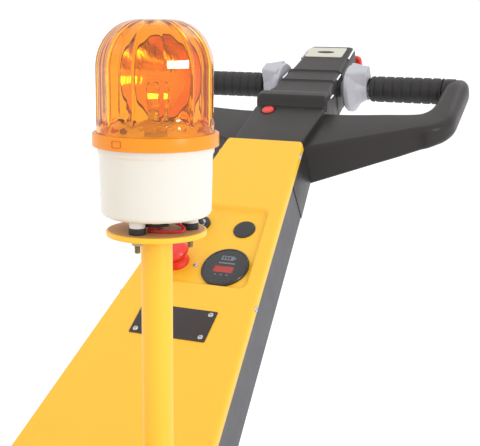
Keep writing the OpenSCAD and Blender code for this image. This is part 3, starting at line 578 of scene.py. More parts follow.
def softened(node_name, width):
    """A CAD part with rounded edges: its doubles are merged, flat faces joined, and edges over EDGE_ANGLE
    rounded by width millimetres."""
    source = frame["nodes"][node_name]
    mesh = source.data.copy()
    mesh.materials.clear()
    mesh.materials.append(FINISHES[SLOT_OF[node_name]])
    work = bmesh.new()
    work.from_mesh(mesh)
    bmesh.ops.remove_doubles(work, verts=work.verts, dist=1e-5)
    bmesh.ops.dissolve_limit(work, angle_limit=math.radians(0.5), verts=work.verts, edges=work.edges)
    work.to_mesh(mesh)
    work.free()
    mesh.polygons.foreach_set("material_index", np.zeros(len(mesh.polygons), np.int32))
    mesh.shade_smooth()
    mesh.set_sharp_from_angle(angle=math.radians(EDGE_ANGLE))
    piece = add_object(node_name + "_finished", mesh)
    bevel = piece.modifiers.new("edges", "BEVEL")
    bevel.width = width * MM
    bevel.segments = 2
    bevel.limit_method = "ANGLE"
    bevel.angle_limit = math.radians(EDGE_ANGLE)
    bevel.use_clamp_overlap = True
    bevel.harden_normals = True
    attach(piece, BODY_OF[node_name])
    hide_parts(node_name)
    return piece


# ---------------------------------------------------------------- beacon, millimetres above its plate

PANELS = 12
PANEL_TURN = 6
CUP_BOTTOM, CUP_TOP, COLLAR_TOP, SHOULDER, CROWN_TOP = 11.5, 67.3, 77.8, 128, 165
LENS_R, DOME_R, CROWN_R, LENS_WALL = 50, 46.5, 12, 2.4
STUD_CIRCLE = 27
STUD_ANGLES = (25, 145, 265)
DECK_UNDER_PLATE = (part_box("beacon_post")[0][2] - beacon_plate) / MM


def dome_profile(wall):
    """Side outline of the dome, a wall in from outside: straight, then a quarter ellipse to a flat crown."""
    start = COLLAR_TOP - (0.5 if wall else 0)
    straight = np.column_stack([np.full(22, DOME_R - wall), np.linspace(start, SHOULDER, 22)])
    angles = np.radians(np.arange(3, 91, 3))
    crown = CROWN_R - wall * 0.3
    round_part = np.column_stack([crown + (DOME_R - wall - crown) * np.cos(angles),
                                  SHOULDER + (CROWN_TOP - SHOULDER - wall) * np.sin(angles)])
    return np.vstack([straight, round_part])


def panel_place(angles):
    """Angle from the middle of the nearest panel, as -1 to 1 across it."""
    width = 2 * math.pi / PANELS
    return ((angles - math.radians(PANEL_TURN)) / width % 1) * 2 - 1


def fluted(radius, height, angles):
    """Outer dome radius: flat panels between raised seams, each starting in an arch above the collar."""
    across = panel_place(angles)
    half = math.pi / PANELS
    flat = math.cos(half) / np.cos(half * across)
    arch = COLLAR_TOP + 3.5 + 5.5 * (1 - across ** 2)
    in_panel = step((height - arch) / 1.6) * step((radius - CROWN_R * 0.8) / 10)
    seam = 0.55 * np.exp(-((1 - np.abs(across)) / 0.11) ** 2)
    return radius * (1 - in_panel * (1 - flat) * 0.9) + in_panel * (seam - 0.45)


def ribbed(radius, height, angles):
    """Inner dome radius: two shallow prism ribs to each panel, fading out towards the crown."""
    across = panel_place(angles)
    rib = 0.12 * np.cos(2 * math.pi * across) * step((radius - CROWN_R) / 14)
    return radius + rib * step((height - COLLAR_TOP) / 4)


def lens_parts():
    """Dome skin outside and inside, closed over the collar's foot by a rounded rim."""
    outside, inside = dome_profile(0), dome_profile(LENS_WALL)
    rim = side_line((DOME_R, COLLAR_TOP, 0), (LENS_R, COLLAR_TOP + 0.4, 1.2), (LENS_R, CUP_TOP, 0.7),
                    (DOME_R + 0.4, CUP_TOP, 0.3), (DOME_R - LENS_WALL, CUP_TOP + 0.2, 0.3),
                    (DOME_R - LENS_WALL, COLLAR_TOP - 0.5, 0))
    crown_out = np.array([[0, CROWN_TOP]])
    crown_in = np.array([[0, CROWN_TOP - LENS_WALL]])
    columns = PANELS * 14
    dome = lathe(np.vstack([outside, crown_out]), columns, fluted)
    lining = lathe(np.vstack([inside, crown_in]), columns, ribbed)
    collar = lathe(rim, columns)
    return [dome, lining, (collar, 1)]


def collar_mark():
    """Small raised frame on the collar: a rounded outline wrapped round it, at the far left."""
    outer = box_outline(-4.4, 4.4, 69.6, 75.4, 1.2)
    inner = inset(outer, 0.7)
    rings = np.array([np.column_stack([np.full(len(outer), LENS_R - 0.3), outer]),
                      np.column_stack([np.full(len(outer), LENS_R + 0.5), inset(outer, 0.15)]),
                      np.column_stack([np.full(len(outer), LENS_R + 0.5), inset(inner, -0.15)]),
                      np.column_stack([np.full(len(outer), LENS_R - 0.3), inner])])
    rings = np.concatenate([rings, rings[:1]])
    radius, along, up = rings[..., 0], rings[..., 1], rings[..., 2]
    angles = math.radians(-98) + along / LENS_R
    return sheet_grid(np.stack([radius * np.cos(angles), radius * np.sin(angles), up], -1), around=True)


def at_studs(part):
    """Copies of a part at the three studs, on a circle about the beacon's axis."""
    return [spun(moved(part, x=STUD_CIRCLE), angle) for angle in STUD_ANGLES]


def make_beacon():
    """Dome, cup, washers, bolts and stand, each a profile turned about the beacon's axis."""
    remake("beacon_lens", "beacon_dome", lens_parts() + [(collar_mark(), 2)], BEACON,
           [FINISHES["amber_lens"], EXTRA["amber_collar"], EXTRA["amber_mark"]], sharp=30)
    cup = side_line((0, CUP_BOTTOM, 0), (44.0, CUP_BOTTOM, 5), (45.2, 60.5, 1), (46.3, 62.4, 0.8),
                    (46.5, 67.2, 0.5), (44, 67.2, 0.4), (43, 58, 2), (41.4, 15, 4), (10, 15, 0.8),
                    (10, 86, 0.8), (0, 86, 0))
    foot = side_line((0, 13, 0), (7.4, 13, 0), (6.5, 10.5, 1.5), (6.3, 5.2, 0.5), (0, 5.2, 0))
    remake("beacon_base", "beacon_cup", [lathe(cup, 96)] + at_studs(lathe(foot, 32)), BEACON)
    washer = ring_line((2.6, 0, 0), (6.7, 0, 0.6), (6.7, 5, 0.6), (2.6, 5, 0))
    remake("beacon_washers", "foot_washers", at_studs(lathe(washer, 32)), BEACON)
    thread = [(0, -15), (1.9, -15)]
    for i in range(13):
        thread += [(2.45, -14.4 + 0.8 * i), (2.0, -14.0 + 0.8 * i)]
    stud = lathe(thread + [(2.4, -4), (2.4, 4), (0, 4)], 20)
    hexagon = [(4.6 * math.cos(a), 4.6 * math.sin(a), 0.4) for a in np.arange(6) * math.pi / 3]
    nut = moved(slab(rounded(hexagon, steps=2), 0, 3.9, 0.5), z=-8.6)
    flat_washer = moved(lathe([(2.5, 0), (5.6, 0), (5.6, 0.8), (2.5, 0.8), (2.5, 0)], 28), z=-5.4)
    nuts = at_studs(nut) + at_studs(flat_washer)
    remake("beacon_studs", "beacon_bolts", at_studs(stud) + nuts, BEACON, [EXTRA["yellow_zinc"]])
    plate = side_line((6, -4.4, 0), (40.3, -4.4, 0.8), (40.3, -0.1, 1.0), (38.6, 0, 0))
    top = [(38.6, 0), (6, 0), (6, -4.4)]
    tube = side_line((12.7, DECK_UNDER_PLATE + 6, 2.5), (12.7, -4.4, 0.3), (10.7, -4.4, 0.3),
                     (10.7, DECK_UNDER_PLATE, 0.3))
    flange = side_line((10.7, DECK_UNDER_PLATE, 0), (30, DECK_UNDER_PLATE, 0.6),
                       (30, DECK_UNDER_PLATE + 6, 1.2), (15.4, DECK_UNDER_PLATE + 6, 0),
                       (13.6, DECK_UNDER_PLATE + 8, 0.8), (12.7, DECK_UNDER_PLATE + 11, 0))
    weld = side_line((12.7, -7.4, 0), (13.8, -6.6, 0.8), (15.4, -4.5, 0))
    parts = [lathe(plate, 96), (lathe(top, 96), 1), lathe(tube, 48), lathe(flange, 48), lathe(weld, 48)]
    remake("beacon_post", "beacon_stand", parts, BEACON, [FINISHES["yellow_paint"], EXTRA["tan_plate_top"]])


WIRE_TURN = 24
WIRE_R = 1.1
RED_ROUTE = [(5, -5, 15), (5, -5, 12), (8, -7, 10), (13, -10, 8), (19, -13, 6), (23, -16, 4), (22, -19, 2),
             (15, -20, 1.5), (7, -20, 1.5), (0, -19, 1.5), (-5, -16, 1.5), (-5, -12, 2), (-1, -9, 3),
             (2, -6, 3), (3, -4, 0), (3, -3, -5), (3, -3, -16)]
BLACK_ROUTE = [(3, -7, 15), (3, -7, 12), (1, -10, 10), (-3, -13, 8), (-7, -15, 7), (-7, -18, 6),
               (-2, -20, 6), (5, -19, 6), (10, -16, 6), (9, -12, 6), (4, -10, 6.5), (-1, -7, 7),
               (-4, -4, 5), (-4, -2, 1), (-4, -1, -4), (-4, -1, -16)]


def make_beacon_inside():
    """Leads, reflector, tray, bulb and motor. The mirror is a parabola: its depth grows with r squared."""
    red = spun(pipe(smooth_line(RED_ROUTE, 140), WIRE_R), WIRE_TURN)
    black = spun(pipe(smooth_line(BLACK_ROUTE, 130), WIRE_R), WIRE_TURN)
    remake("beacon_wires", "beacon_leads", [red, (black, 1)], BEACON,
           [FINISHES["wire_insulation"], EXTRA["black_wire"]])
    low, high = (np.array(corner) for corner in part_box("beacon_reflector"))
    ring_z = (low[2] - beacon_plate) / MM
    dish_r = (high[0] - low[0]) / MM / 2
    dish_z = (high[2] - beacon_plate) / MM - dish_r
    r = np.linspace(0, dish_r, 44)
    hollow = 22 * (r / dish_r) ** 2
    face = np.column_stack([r, 30.2 - hollow])[:-1]
    back = np.column_stack([r, 31.9 - hollow])[::-1]
    rim = [[dish_r - 1.6, 10.4], [dish_r - 0.2, 8.1], [dish_r, 9.4]]
    mirror, shell = (lathe(part, 144) for part in (np.vstack([face, rim[:1]]), np.vstack([rim, back])))
    # Upright flutes in the mirror, drawn out to nothing at its rim
    x, depth = mirror[0][:, 0], mirror[0][:, 2]
    depth += 0.26 * np.sin(1.9 * x) * step((dish_r - 3 - np.hypot(x, mirror[0][:, 1])) / 4)
    mirror, shell = (moved(turned(part, (1, 3, -2)), z=dish_z) for part in (mirror, shell))
    carrier = lathe(ring_line((10.1, ring_z, 0), (24, ring_z, 0.8), (24, ring_z + 4, 0.8),
                              (10.1, ring_z + 4, 0)), 60)
    stalk_line = rounded([(-6, 0, 2), (6, 0, 2), (4.4, dish_z - dish_r + 5 - ring_z, 2),
                          (-4.4, dish_z - dish_r + 5 - ring_z, 2)])
    stalk = turned(pillow(stalk_line, 0, 4, 0.7), (1, 3, 2))
    remake("beacon_reflector", "reflector_dish",
           [mirror, (shell, 1), (carrier, 2), (moved(stalk, y=15, z=ring_z), 2)], BEACON,
           [FINISHES["reflector"], EXTRA["reflector_back"], FINISHES["ivory_plastic"]])
    tray = ring_line((10.1, 72, 0), (43.6, 72, 0), (43.6, 74.5, 0.5), (10.1, 74.5, 0))
    # The tray's material glows: painted light under the dome.
    make_piece("cup_tray", [lathe(tray, 72)], "chassis", "ivory_plastic", BEACON, [EXTRA["tray_painted_glow"]])
    bulb_low = (np.array(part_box("beacon_bulb")[0])[2] - beacon_plate) / MM
    glass = side_line((0, 31, 0), (6.5, 31, 5), (9.6, 20, 5), (6, 11, 3), (5.6, 9, 0), (0, 9, 0), steps=8)
    cap = side_line((0, 0.2, 0), (6.4, 0.2, 0.6), (6.4, 7.6, 0.8), (5.2, 9.4, 0.5), (0, 9.4, 0))
    coil = np.linspace(0, 1, 90)
    filament = np.column_stack([-4 + 8 * coil, 0.9 * np.cos(60 * coil), 20 + 0.9 * np.sin(60 * coil)])
    legs = [pipe(smooth_line([(x, 0, 9), (x * 1.1, 0, 14), (x, 0, 20)], 16), 0.25, 6) for x in (-4, 4)]
    remake("beacon_bulb", "bulb_glass", [moved(lathe(glass, 40), z=bulb_low)], BEACON)
    make_piece("bulb_cap", [moved(lathe(cap, 36), z=bulb_low)] + [moved(leg, z=bulb_low) for leg in legs],
               "chassis", "zinc", BEACON)
    make_piece("bulb_filament", [moved(pipe(filament, 0.3, 6), z=bulb_low)], "chassis", "clear_glass",
               BEACON, [EXTRA["filament"]])
    motor_low, motor_high = (np.array(corner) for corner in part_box("beacon_motor"))
    centre = ((motor_low + motor_high) / 2 - BEACON[3]) / MM
    can = side_line((0, 16.3, 0), (9, 16.3, 0.8), (9, 48, 1.6), (4, 48.4, 0.5), (4, 50.4, 0.4),
                    (2, 50.4, 0), (2, 85, 0.5), (0, 85.4, 0))
    remake("beacon_motor", "turning_motor", [moved(lathe(can, 40), x=centre[0], y=centre[1])], BEACON)
    tyre = ring_line((2.1, 79.2, 0), (5.2, 79.2, 0.6), (6, 80.6, 1.2), (6, 83.4, 1.2), (5.2, 84.8, 0.6),
                     (2.1, 84.8, 0))
    remake("beacon_roller", "friction_tyre", [moved(lathe(tyre, 36), x=centre[0], y=centre[1])], BEACON)


# ---------------------------------------------------------------- tiller arm, u up from the cover's top end

COVER_HALF, COVER_GROWTH = 55.6, 0.1209
COVER_LENGTH = 620
COVER_FOLD = 3.6
PANEL_U0, PANEL_U1, PANEL_MARGIN, PANEL_DEPTH = -135, -266, 20, 6
GAUGE, PLUG, KEY, ESTOP = (28.8, -234.5), (29.9, -167.7), (-31, -165), (-38, -232)
PLATE_HALF, PLATE_U0, PLATE_U1 = 50, -309, -355
GAUGE_FLOOR = 2.7


def half_width(u):
    """Half of the cover's width: it grows in a straight line down the arm."""
    return COVER_HALF - COVER_GROWTH * u


def recess(x, u):
    """Depth of the sunk panel: PANEL_DEPTH inside a tapered outline with round corners, with soft walls."""
    half = half_width(u) - PANEL_MARGIN
    middle, reach = (PANEL_U0 + PANEL_U1) / 2, (PANEL_U0 - PANEL_U1) / 2
    corner = 9
    dx, du = np.abs(x) - half + corner, np.abs(u - middle) - reach + corner
    outside = np.hypot(np.maximum(dx, 0), np.maximum(du, 0)) + np.minimum(np.maximum(dx, du), 0) - corner
    return PANEL_DEPTH * step(0.5 - outside / 6.5)


def make_cover():
    """Folded sheet: across it runs flange, bend, top, bend, flange; its top end turns down in that bend."""
    end_bend = COVER_FOLD * (1 - np.sin(np.linspace(0, math.pi / 2, 9)))
    u = np.concatenate([np.arange(-COVER_LENGTH, PLATE_U0 - 1, 6.0), np.arange(PLATE_U0, -10, 2.2),
                        np.linspace(-9.5, -4, 7), -end_bend])[:, None]
    round_end = 6.0
    near = np.maximum(round_end + u, 0)
    half = half_width(u) - round_end + np.sqrt(np.maximum(round_end ** 2 - near ** 2, 0))
    drop = COVER_FOLD - np.sqrt(np.maximum(COVER_FOLD ** 2 - np.maximum(COVER_FOLD + u, 0) ** 2, 0))
    t = np.linspace(-1, 1, 101)[None]
    bend = np.linspace(0, math.pi / 2, 8)[None, 1:]
    top_x = t * (half - COVER_FOLD)
    top_z = -recess(top_x, u) - drop
    edge_x = half - COVER_FOLD + COVER_FOLD * np.sin(bend)
    edge_z = np.minimum(-COVER_FOLD + COVER_FOLD * np.cos(bend) + 0 * u, -drop)
    flange_x = half + 0 * np.linspace(0, 1, 4)[None]
    flange_z = -COVER_FOLD + (COVER_FOLD - COVER_FLANGE) * np.linspace(0.25, 1, 4)[None] + 0 * u
    x = np.concatenate([-flange_x[:, ::-1], -edge_x[:, ::-1], top_x, edge_x, flange_x], 1)
    z = np.concatenate([flange_z[:, ::-1], edge_z[:, ::-1], top_z, edge_z, flange_z], 1)
    rows = np.stack([x, u + 0 * x, z], -1)
    end_wall = rows[-1:].copy()
    end_wall[..., 2] = -COVER_FLANGE
    piece = remake("arm_cover", "tiller_cover", [sheet_grid(np.concatenate([rows, end_wall]))], ARM,
                   sharp=50)
    thickened(piece, SHEET)


def on_panel(part, spot):
    """Part seated on the floor of the sunk panel, at one of its spots."""
    return moved(part, *spot, -PANEL_DEPTH)


def screw_head(radius, height):
    """Domed head with a cross slot: a dome over a disc, sunk where either arm of the cross passes."""
    rho = np.concatenate([[0.01], np.linspace(0.06, 1, 16)])[:, None] * radius
    angles = np.linspace(0, 2 * math.pi, 48, endpoint=False)[None]
    x, y = rho * np.cos(angles), rho * np.sin(angles)
    dome = height * np.sqrt(np.maximum(1 - 0.92 * (rho / radius) ** 2, 0)) + 0 * angles
    slot = step((0.13 * radius - np.minimum(np.abs(x), np.abs(y))) / (0.06 * radius))
    slot = slot * step((0.62 * radius - rho) / (0.08 * radius))
    z = dome - 0.45 * height * slot
    rows = np.stack([x, y, z], -1)
    foot = rows[-1:].copy()
    foot[..., 2] = 0
    return tube_grid(np.concatenate([rows, foot]))


def make_arm_fittings():
    """Screws, the name plate, the gauge bezel and the hole plug, each turned or cut from its outline."""
    lean = math.degrees(math.atan(COVER_GROWTH))
    flange_screws = []
    for u in (-25, -292):
        head = turned(screw_head(4, 2.2), (3, 2, -1))
        flange_screws.append(moved(spun(head, lean), x=half_width(u), y=u, z=-COVER_FLANGE / 2))
    corners = [(PLATE_HALF - 7, PLATE_U0 - 6), (PLATE_HALF - 7, PLATE_U1 + 6)]
    plate_screws = [moved(spun(screw_head(3.4, 1.9), 20 * i), x=x, y=u, z=1.1) for i,
                    (x, u) in enumerate(corners)]
    panel_screw = moved(spun(screw_head(3.2, 1.8), 35), x=-12, y=-235, z=-PANEL_DEPTH)
    sided = flange_screws + plate_screws
    remake("arm_screws", "cover_screws", sided + [mirrored(part) for part in sided] + [panel_screw], ARM,
           sharp=50)
    outline = box_outline(-PLATE_HALF, PLATE_HALF, PLATE_U1, PLATE_U0, 1.5)
    remake("name_plate", "blank_name_plate", [slab(outline, 0, 1.2, 0.35)], ARM)
    bezel = side_line((26, -30, 0.5), (26, 0, 0), (30.8, 0, 0.3), (30.8, 2.2, 1.2), (29.2, 4, 1.0),
                      (27.6, 4, 0.5), (27.2, GAUGE_FLOOR, 0.2), (0, GAUGE_FLOOR, 0))
    bezel = np.vstack([[[0, -30]], bezel])
    remake("gauge_housing", "gauge_bezel", [on_panel(lathe(bezel, 96), GAUGE)], ARM)
    make_gauge_face(GAUGE_FLOOR - PANEL_DEPTH)
    plug = side_line((0, -14, 0), (10, -14, 1), (10, 0, 0), (14.5, 0, 0.2), (14.5, 1.4, 1.0),
                     (12.6, 2.4, 1.5), (0, 2.5, 0))
    remake("blank_plug", "hole_plug", [on_panel(lathe(plug, 64), PLUG)], ARM)


def make_gauge_face(level):
    """Face at level, under the lens: a small battery sign, a scale line, a lit window and three marks."""
    def tile(x0, x1, u0, u1, rise, radius=0.6):
        """Small raised rectangle on the face, from the gauge's middle."""
        return moved(slab(box_outline(x0, x1, u0, u1, radius), 0, rise, 0.08, 2), GAUGE[0], GAUGE[1], level)

    ink = [tile(-9, 8, 10.5, 17.5, 0.25, 1.2), tile(8.3, 10.2, 12.2, 15.8, 0.25),
           tile(-10, 12, 4.6, 6.6, 0.25)]
    ink += [tile(x - 1.4, x + 1.4, -14.6, -12.8, 0.2) for x in (-8, 0, 8)]
    holes = [tile(x, x + 2.4, 12, 16, 0.32, 0.3) for x in (-7, -3, 1)]
    make_piece("gauge_signs", ink + [(hole, 1) for hole in holes], "tiller", "black_plastic", ARM,
               [EXTRA["gauge_ink"], EXTRA["gauge_face"]])
    make_piece("gauge_display", [tile(-13, 13, -9.6, 0.4, 0.3, 1.0)], "tiller", "red_plastic", ARM,
               [EXTRA["gauge_window"]])


def make_key_and_stop():
    """Key socket and key, and the emergency stop: a collar and a waisted cap with three arrows."""
    barrel = side_line((0, -30, 0), (9, -30, 0.5), (9, 0, 0), (11.5, 0, 0.2), (11.5, 3.4, 1.2),
                       (10, 5, 1.0), (7.5, 5, 0.6), (6.2, 4.3, 0), (6.2, -24, 0), (0, -24, 0))
    remake("key_barrel", "key_socket", [on_panel(lathe(barrel, 56), KEY)], ARM)
    core = side_line((0, -23, 0), (6, -23, 0.5), (6, 4.6, 0.6), (0, 4.6, 0))
    blade = turned(pillow(box_outline(-4, 4, 4, 13, 0.5), -1.2, 1.2, 0.3), (3, 1, 2))
    bow = rounded([(-5, 10, 3), (5, 10, 3), (9.5, 17, 4), (9.5, 28, 6), (-9.5, 28, 6), (-9.5, 17, 4)],
                  steps=8)
    bow_part = turned(pillow(bow, -2, 2, 0.9), (3, 1, 2))
    parts = [(lathe(core, 40), 1), (blade, 0), (bow_part, 0)]
    remake("ignition_key", "key_in_lock", [(on_panel(part, KEY), index) for part, index in parts], ARM,
           [FINISHES["black_plastic"], FINISHES["zinc"]])
    collar = ring_line((6.1, -34, 0), (11, -34, 0.6), (11, 0, 0), (15.4, 0, 0.3), (15.2, 2.4, 1.5),
                       (13, 6.5, 3), (12.4, 10.6, 0.5), (6.1, 10.6, 0.4))
    remake("estop_collar", "stop_collar", [on_panel(lathe(collar, 60), ESTOP)], ARM)
    cap = side_line((0, -22, 0), (6, -22, 0.6), (6, 17.2, 0.4), (11.8, 17.2, 0.6), (13.5, 18.4, 2),
                    (20, 19.5, 1.5), (20, 24, 5), (15, 29.4, 6), (0, 30, 0), steps=8)
    arrows = [spun(moved(slab(rounded([(-2.2, 0, 0.4), (0, 3.2, 0.4), (2.2, 0, 0.4)]), 0, 0.35, 0.12, 2),
                         y=9.5, z=29.2), 120 * k) for k in range(3)]
    remake("estop_head", "stop_button", [on_panel(part, ESTOP) for part in [lathe(cap, 72)] + arrows],
           ARM)


# ---------------------------------------------------------------- tiller head, v along it, w out of its top

HEAD_LINE = np.array([(3, 51, 0), (99, 54.5, 0), (108, 55, 5), (132, 55, 3.4), (150, 47.4, 2.6),
                      (170, 44.8, 2), (205, 42.6, 0), (240, 40.6, -1), (296, 37.6, -1)], float)
BOW_RIDGE = [(40, 5), (52, 11), (102, 34), (146, 54), (192, 73.6)]
BOW_TOP_W, BOW_ROOT_W, BOW_END_W = -12, -74, -46
HORN = (-29, 84)
HEAD_DRAFT = 3.0


def section(half, top, bottom, top_round, foot_round):
    """Closed outline across the head: flat top, side walls with draft, and four round corners."""
    foot = half - HEAD_DRAFT
    return rounded([(-half, top, top_round), (half, top, top_round), (foot, bottom, foot_round),
                    (-foot, bottom, foot_round)], steps=9)


def make_head_body():
    """Rings along v: neck, a rounded lip across, two thin ribs, a sloping top and a rounded far end."""
    v = np.unique(np.concatenate([np.arange(3, 100, 6), np.arange(98, 140, 1.4), np.arange(140, 166, 3),
                                  np.arange(166, 182, 0.8), np.arange(182, 200, 3), np.arange(200, 215, 0.8),
                                  np.arange(215, 286, 5)]))
    half = np.interp(v, HEAD_LINE[:, 0], HEAD_LINE[:, 1])
    top = np.interp(v, HEAD_LINE[:, 0], HEAD_LINE[:, 2])
    lip = np.where(v < 115, step((v - 99) / 8), 1 - step((v - 117) / 22))
    top = top + 8.5 * lip + 2.3 * bump(v, 173, 2.4) + 2.3 * bump(v, 207, 2.4)
    half = half + bump(v, 173, 3) + bump(v, 207, 3)
    top_round = np.where(v < 98, 4.5, 8.0)
    rings = []
    for vi, h, t, r in zip(v, half, top, top_round):
        bottom = -63 if vi < 120 else -63 - 1.5 * min((vi - 120) / 20, 1)
        rings.append(section(h, t, bottom, r, 10))
    end = np.linspace(0, math.pi / 2, 8)[1:]
    for angle in end:
        shrink = 9 * (1 - math.cos(angle))
        rings.append(section(37.7 - shrink, -1 - shrink, -64.5 + shrink, 8, 10))
    v = np.concatenate([v, 286 + 9.6 * np.sin(end)])
    rings = np.array([np.column_stack([ring[:, 0], np.full(len(ring), vi), ring[:, 1]])
                      for ring, vi in zip(rings, v)])
    near, far = half_width(-76) - 0.5, half_width(4) - 1.6
    outline = rounded([(-near, -76, 0.5), (near, -76, 0.5), (far, 4, 5), (-far, 4, 5)])
    wrist = pillow(outline, -72.6, -COVER_FLANGE - 0.3, 2)
    remake("head_shell", "head_casing", [tube_grid(rings)], HEAD, sharp=32)
    make_piece("head_wrist", [wrist], "tiller", "head_plastic", ARM)


def bow_section(inner, outer, top, bottom, inner_round, outer_round, outward):
    """Rounded four-corner outline in the plane through inner and outer, as (along, w) pairs; the outer wall
    leans outward by outward millimetres at its foot."""
    width = np.linalg.norm(outer - inner)
    return rounded([(0, top, inner_round), (width, top - 0.5, outer_round),
                    (width + outward, bottom, outer_round),
                    (0, bottom, inner_round)], steps=7), (outer - inner) / width


def make_bow():
    """Arm of the handle: sections carried from its root along an inner and an outer edge to the grip."""
    bend_a = np.radians(np.linspace(-90, 0, 16))
    corner = np.column_stack([192 + 43 * np.cos(bend_a), 118 + 43 * np.sin(bend_a)])
    straight = np.column_stack([np.linspace(235.2, 234.4, 10), np.linspace(122, 192, 10)])
    outer = np.vstack([smooth_line(BOW_RIDGE, 26)[:-1], corner[1:], straight])
    inner = smooth_line([(40, 103), (81, 104), (130, 109), (176, 115.5), (190, 124), (197.5, 140),
                         (198.4, 165), (198.4, 192)], len(outer))
    length = np.concatenate([[0], np.cumsum(np.linalg.norm(np.diff(outer, axis=0), axis=1))])
    t = length / length[-1]
    middle_line = np.concatenate([[0], np.cumsum(np.linalg.norm(np.diff(inner, axis=0), axis=1))])
    inner = np.column_stack([np.interp(t, middle_line / middle_line[-1], inner[:, k]) for k in (0, 1)])
    rings = []
    for i, (p, q) in enumerate(zip(inner, outer)):
        depth = np.interp(np.linalg.norm((p + q) / 2 - [40, 50]), [0, 165], [BOW_ROOT_W, BOW_END_W])
        round_out = np.interp(t[i], [0, 0.45, 0.7, 1], [3.5, 5, 13, 15])
        round_in = np.interp(t[i], [0, 0.45, 0.7, 1], [3, 4, 9, 14])
        top = np.interp(t[i], [0, 0.7, 1], [BOW_TOP_W, BOW_TOP_W, BOW_TOP_W + 3.5])
        outline, way = bow_section(p, q, top, depth, round_in, round_out,
                                   np.interp(t[i], [0, 0.5, 1], [3, 1, 0]))
        rings.append(np.column_stack([p + outline[:, :1] * way, outline[:, 1]]))
    last = rings[-1]
    centre = last.mean(0)
    for angle in np.linspace(0, math.pi / 2, 9)[1:]:
        ring = centre + (last - centre) * max(math.cos(angle) ** 0.6, 0.04)
        ring[:, 1] = last[:, 1].mean() + 33 * math.sin(angle)
        rings.append(ring)
    bow = tube_grid(np.array(rings))
    make_piece("handle_bow_right", [bow], "tiller", "head_plastic", HEAD, sharp=40)
    make_piece("handle_bow_left", [mirrored(bow)], "tiller", "head_plastic", HEAD, sharp=40)


def grip_profile():
    """Sleeve from its domed inner end outwards, with a groove between rings every 14 millimetres."""
    x = np.linspace(90, 195.2, 211)
    ring = np.abs(((x - 94) / 14) % 1 - 0.5) * 2
    radius = 19 - 1.5 * step((ring - 0.62) / 0.3)
    dome_x = 85.6 + 4.4 * (1 - np.cos(np.linspace(0, math.pi / 2, 8)[:-1]))
    dome_r = 13.6 + 5.3 * np.sin(np.linspace(0, math.pi / 2, 8)[:-1])
    return np.vstack([[[11.1, 85.6]], np.column_stack([dome_r, dome_x]), np.column_stack([radius, x]),
                      [[11.1, 195.2]]])


def make_grips():
    """Two ribbed sleeves and their sockets, turned about the grip bar that runs through them."""
    grip = lathe(grip_profile(), 64)
    remake("grips", "hand_grips", [grip, turned(grip, (1, 2, -3))], GRIP, sharp=45)
    tube = side_line((0, -211.8, 0), (11, -211.8, 1), (11, 211.8, 1), (0, 211.8, 0))
    remake("grip_tube", "grip_bar", [lathe(tube, 40)], GRIP)
    socket = lathe(ring_line((11.1, 195.6, 0), (17.6, 195.6, 1.5), (18.6, 201, 2), (18.6, 212, 0),
                             (11.1, 212, 0)), 48)
    make_piece("grip_sockets", [socket, turned(socket, (1, 2, -3))], "tiller", "head_plastic", GRIP)


def knob_parts():
    """Thumb wheel: a thick disc, a hub that narrows to the grip, and a square-topped paddle beside it."""
    disc = side_line((14, 51.6, 0), (33, 51.6, 1.2), (35, 54, 1.5), (35, 60, 2.5), (30, 63.5, 4),
                     (24, 68, 6), (18.5, 76, 6), (16.4, 83, 1.2), (11.2, 83, 0))
    t = np.linspace(0, 1, 16)
    x = 56 + 27 * t
    rings = []
    for xi, ti in zip(x, t):
        wide = 21 - 7.5 * step(ti * 1.2)
        high = 34.6 - 1.0 * ti
        low = 2.0
        outline = rounded([(-wide, low, 2), (wide, low, 2), (wide * 0.86, high, 4),
                           (-wide * 0.86, high, 4)], steps=5)
        rings.append(np.column_stack([outline, np.full(len(outline), xi)]))
    cap = np.column_stack([inset(rings[-1][:, :2], 0.5), np.full(len(rings[-1]), 83)])
    rings[-1][:, 2] = 82.4
    return [lathe(disc, 72), tube_grid(np.array(rings + [cap]))]


def make_knobs():
    """Thumb wheels right and left, mirrored, joined by a sleeve on the grip bar."""
    right = knob_parts()
    left = [mirrored(part, 2) for part in right]
    sleeve = ring_line((11.1, -52.4, 0), (14, -52.4, 0), (14, 52.4, 0), (11.1, 52.4, 0))
    remake("throttle_knobs", "throttle_wheels", right + left + [lathe(sleeve, 40)], GRIP, sharp=35)


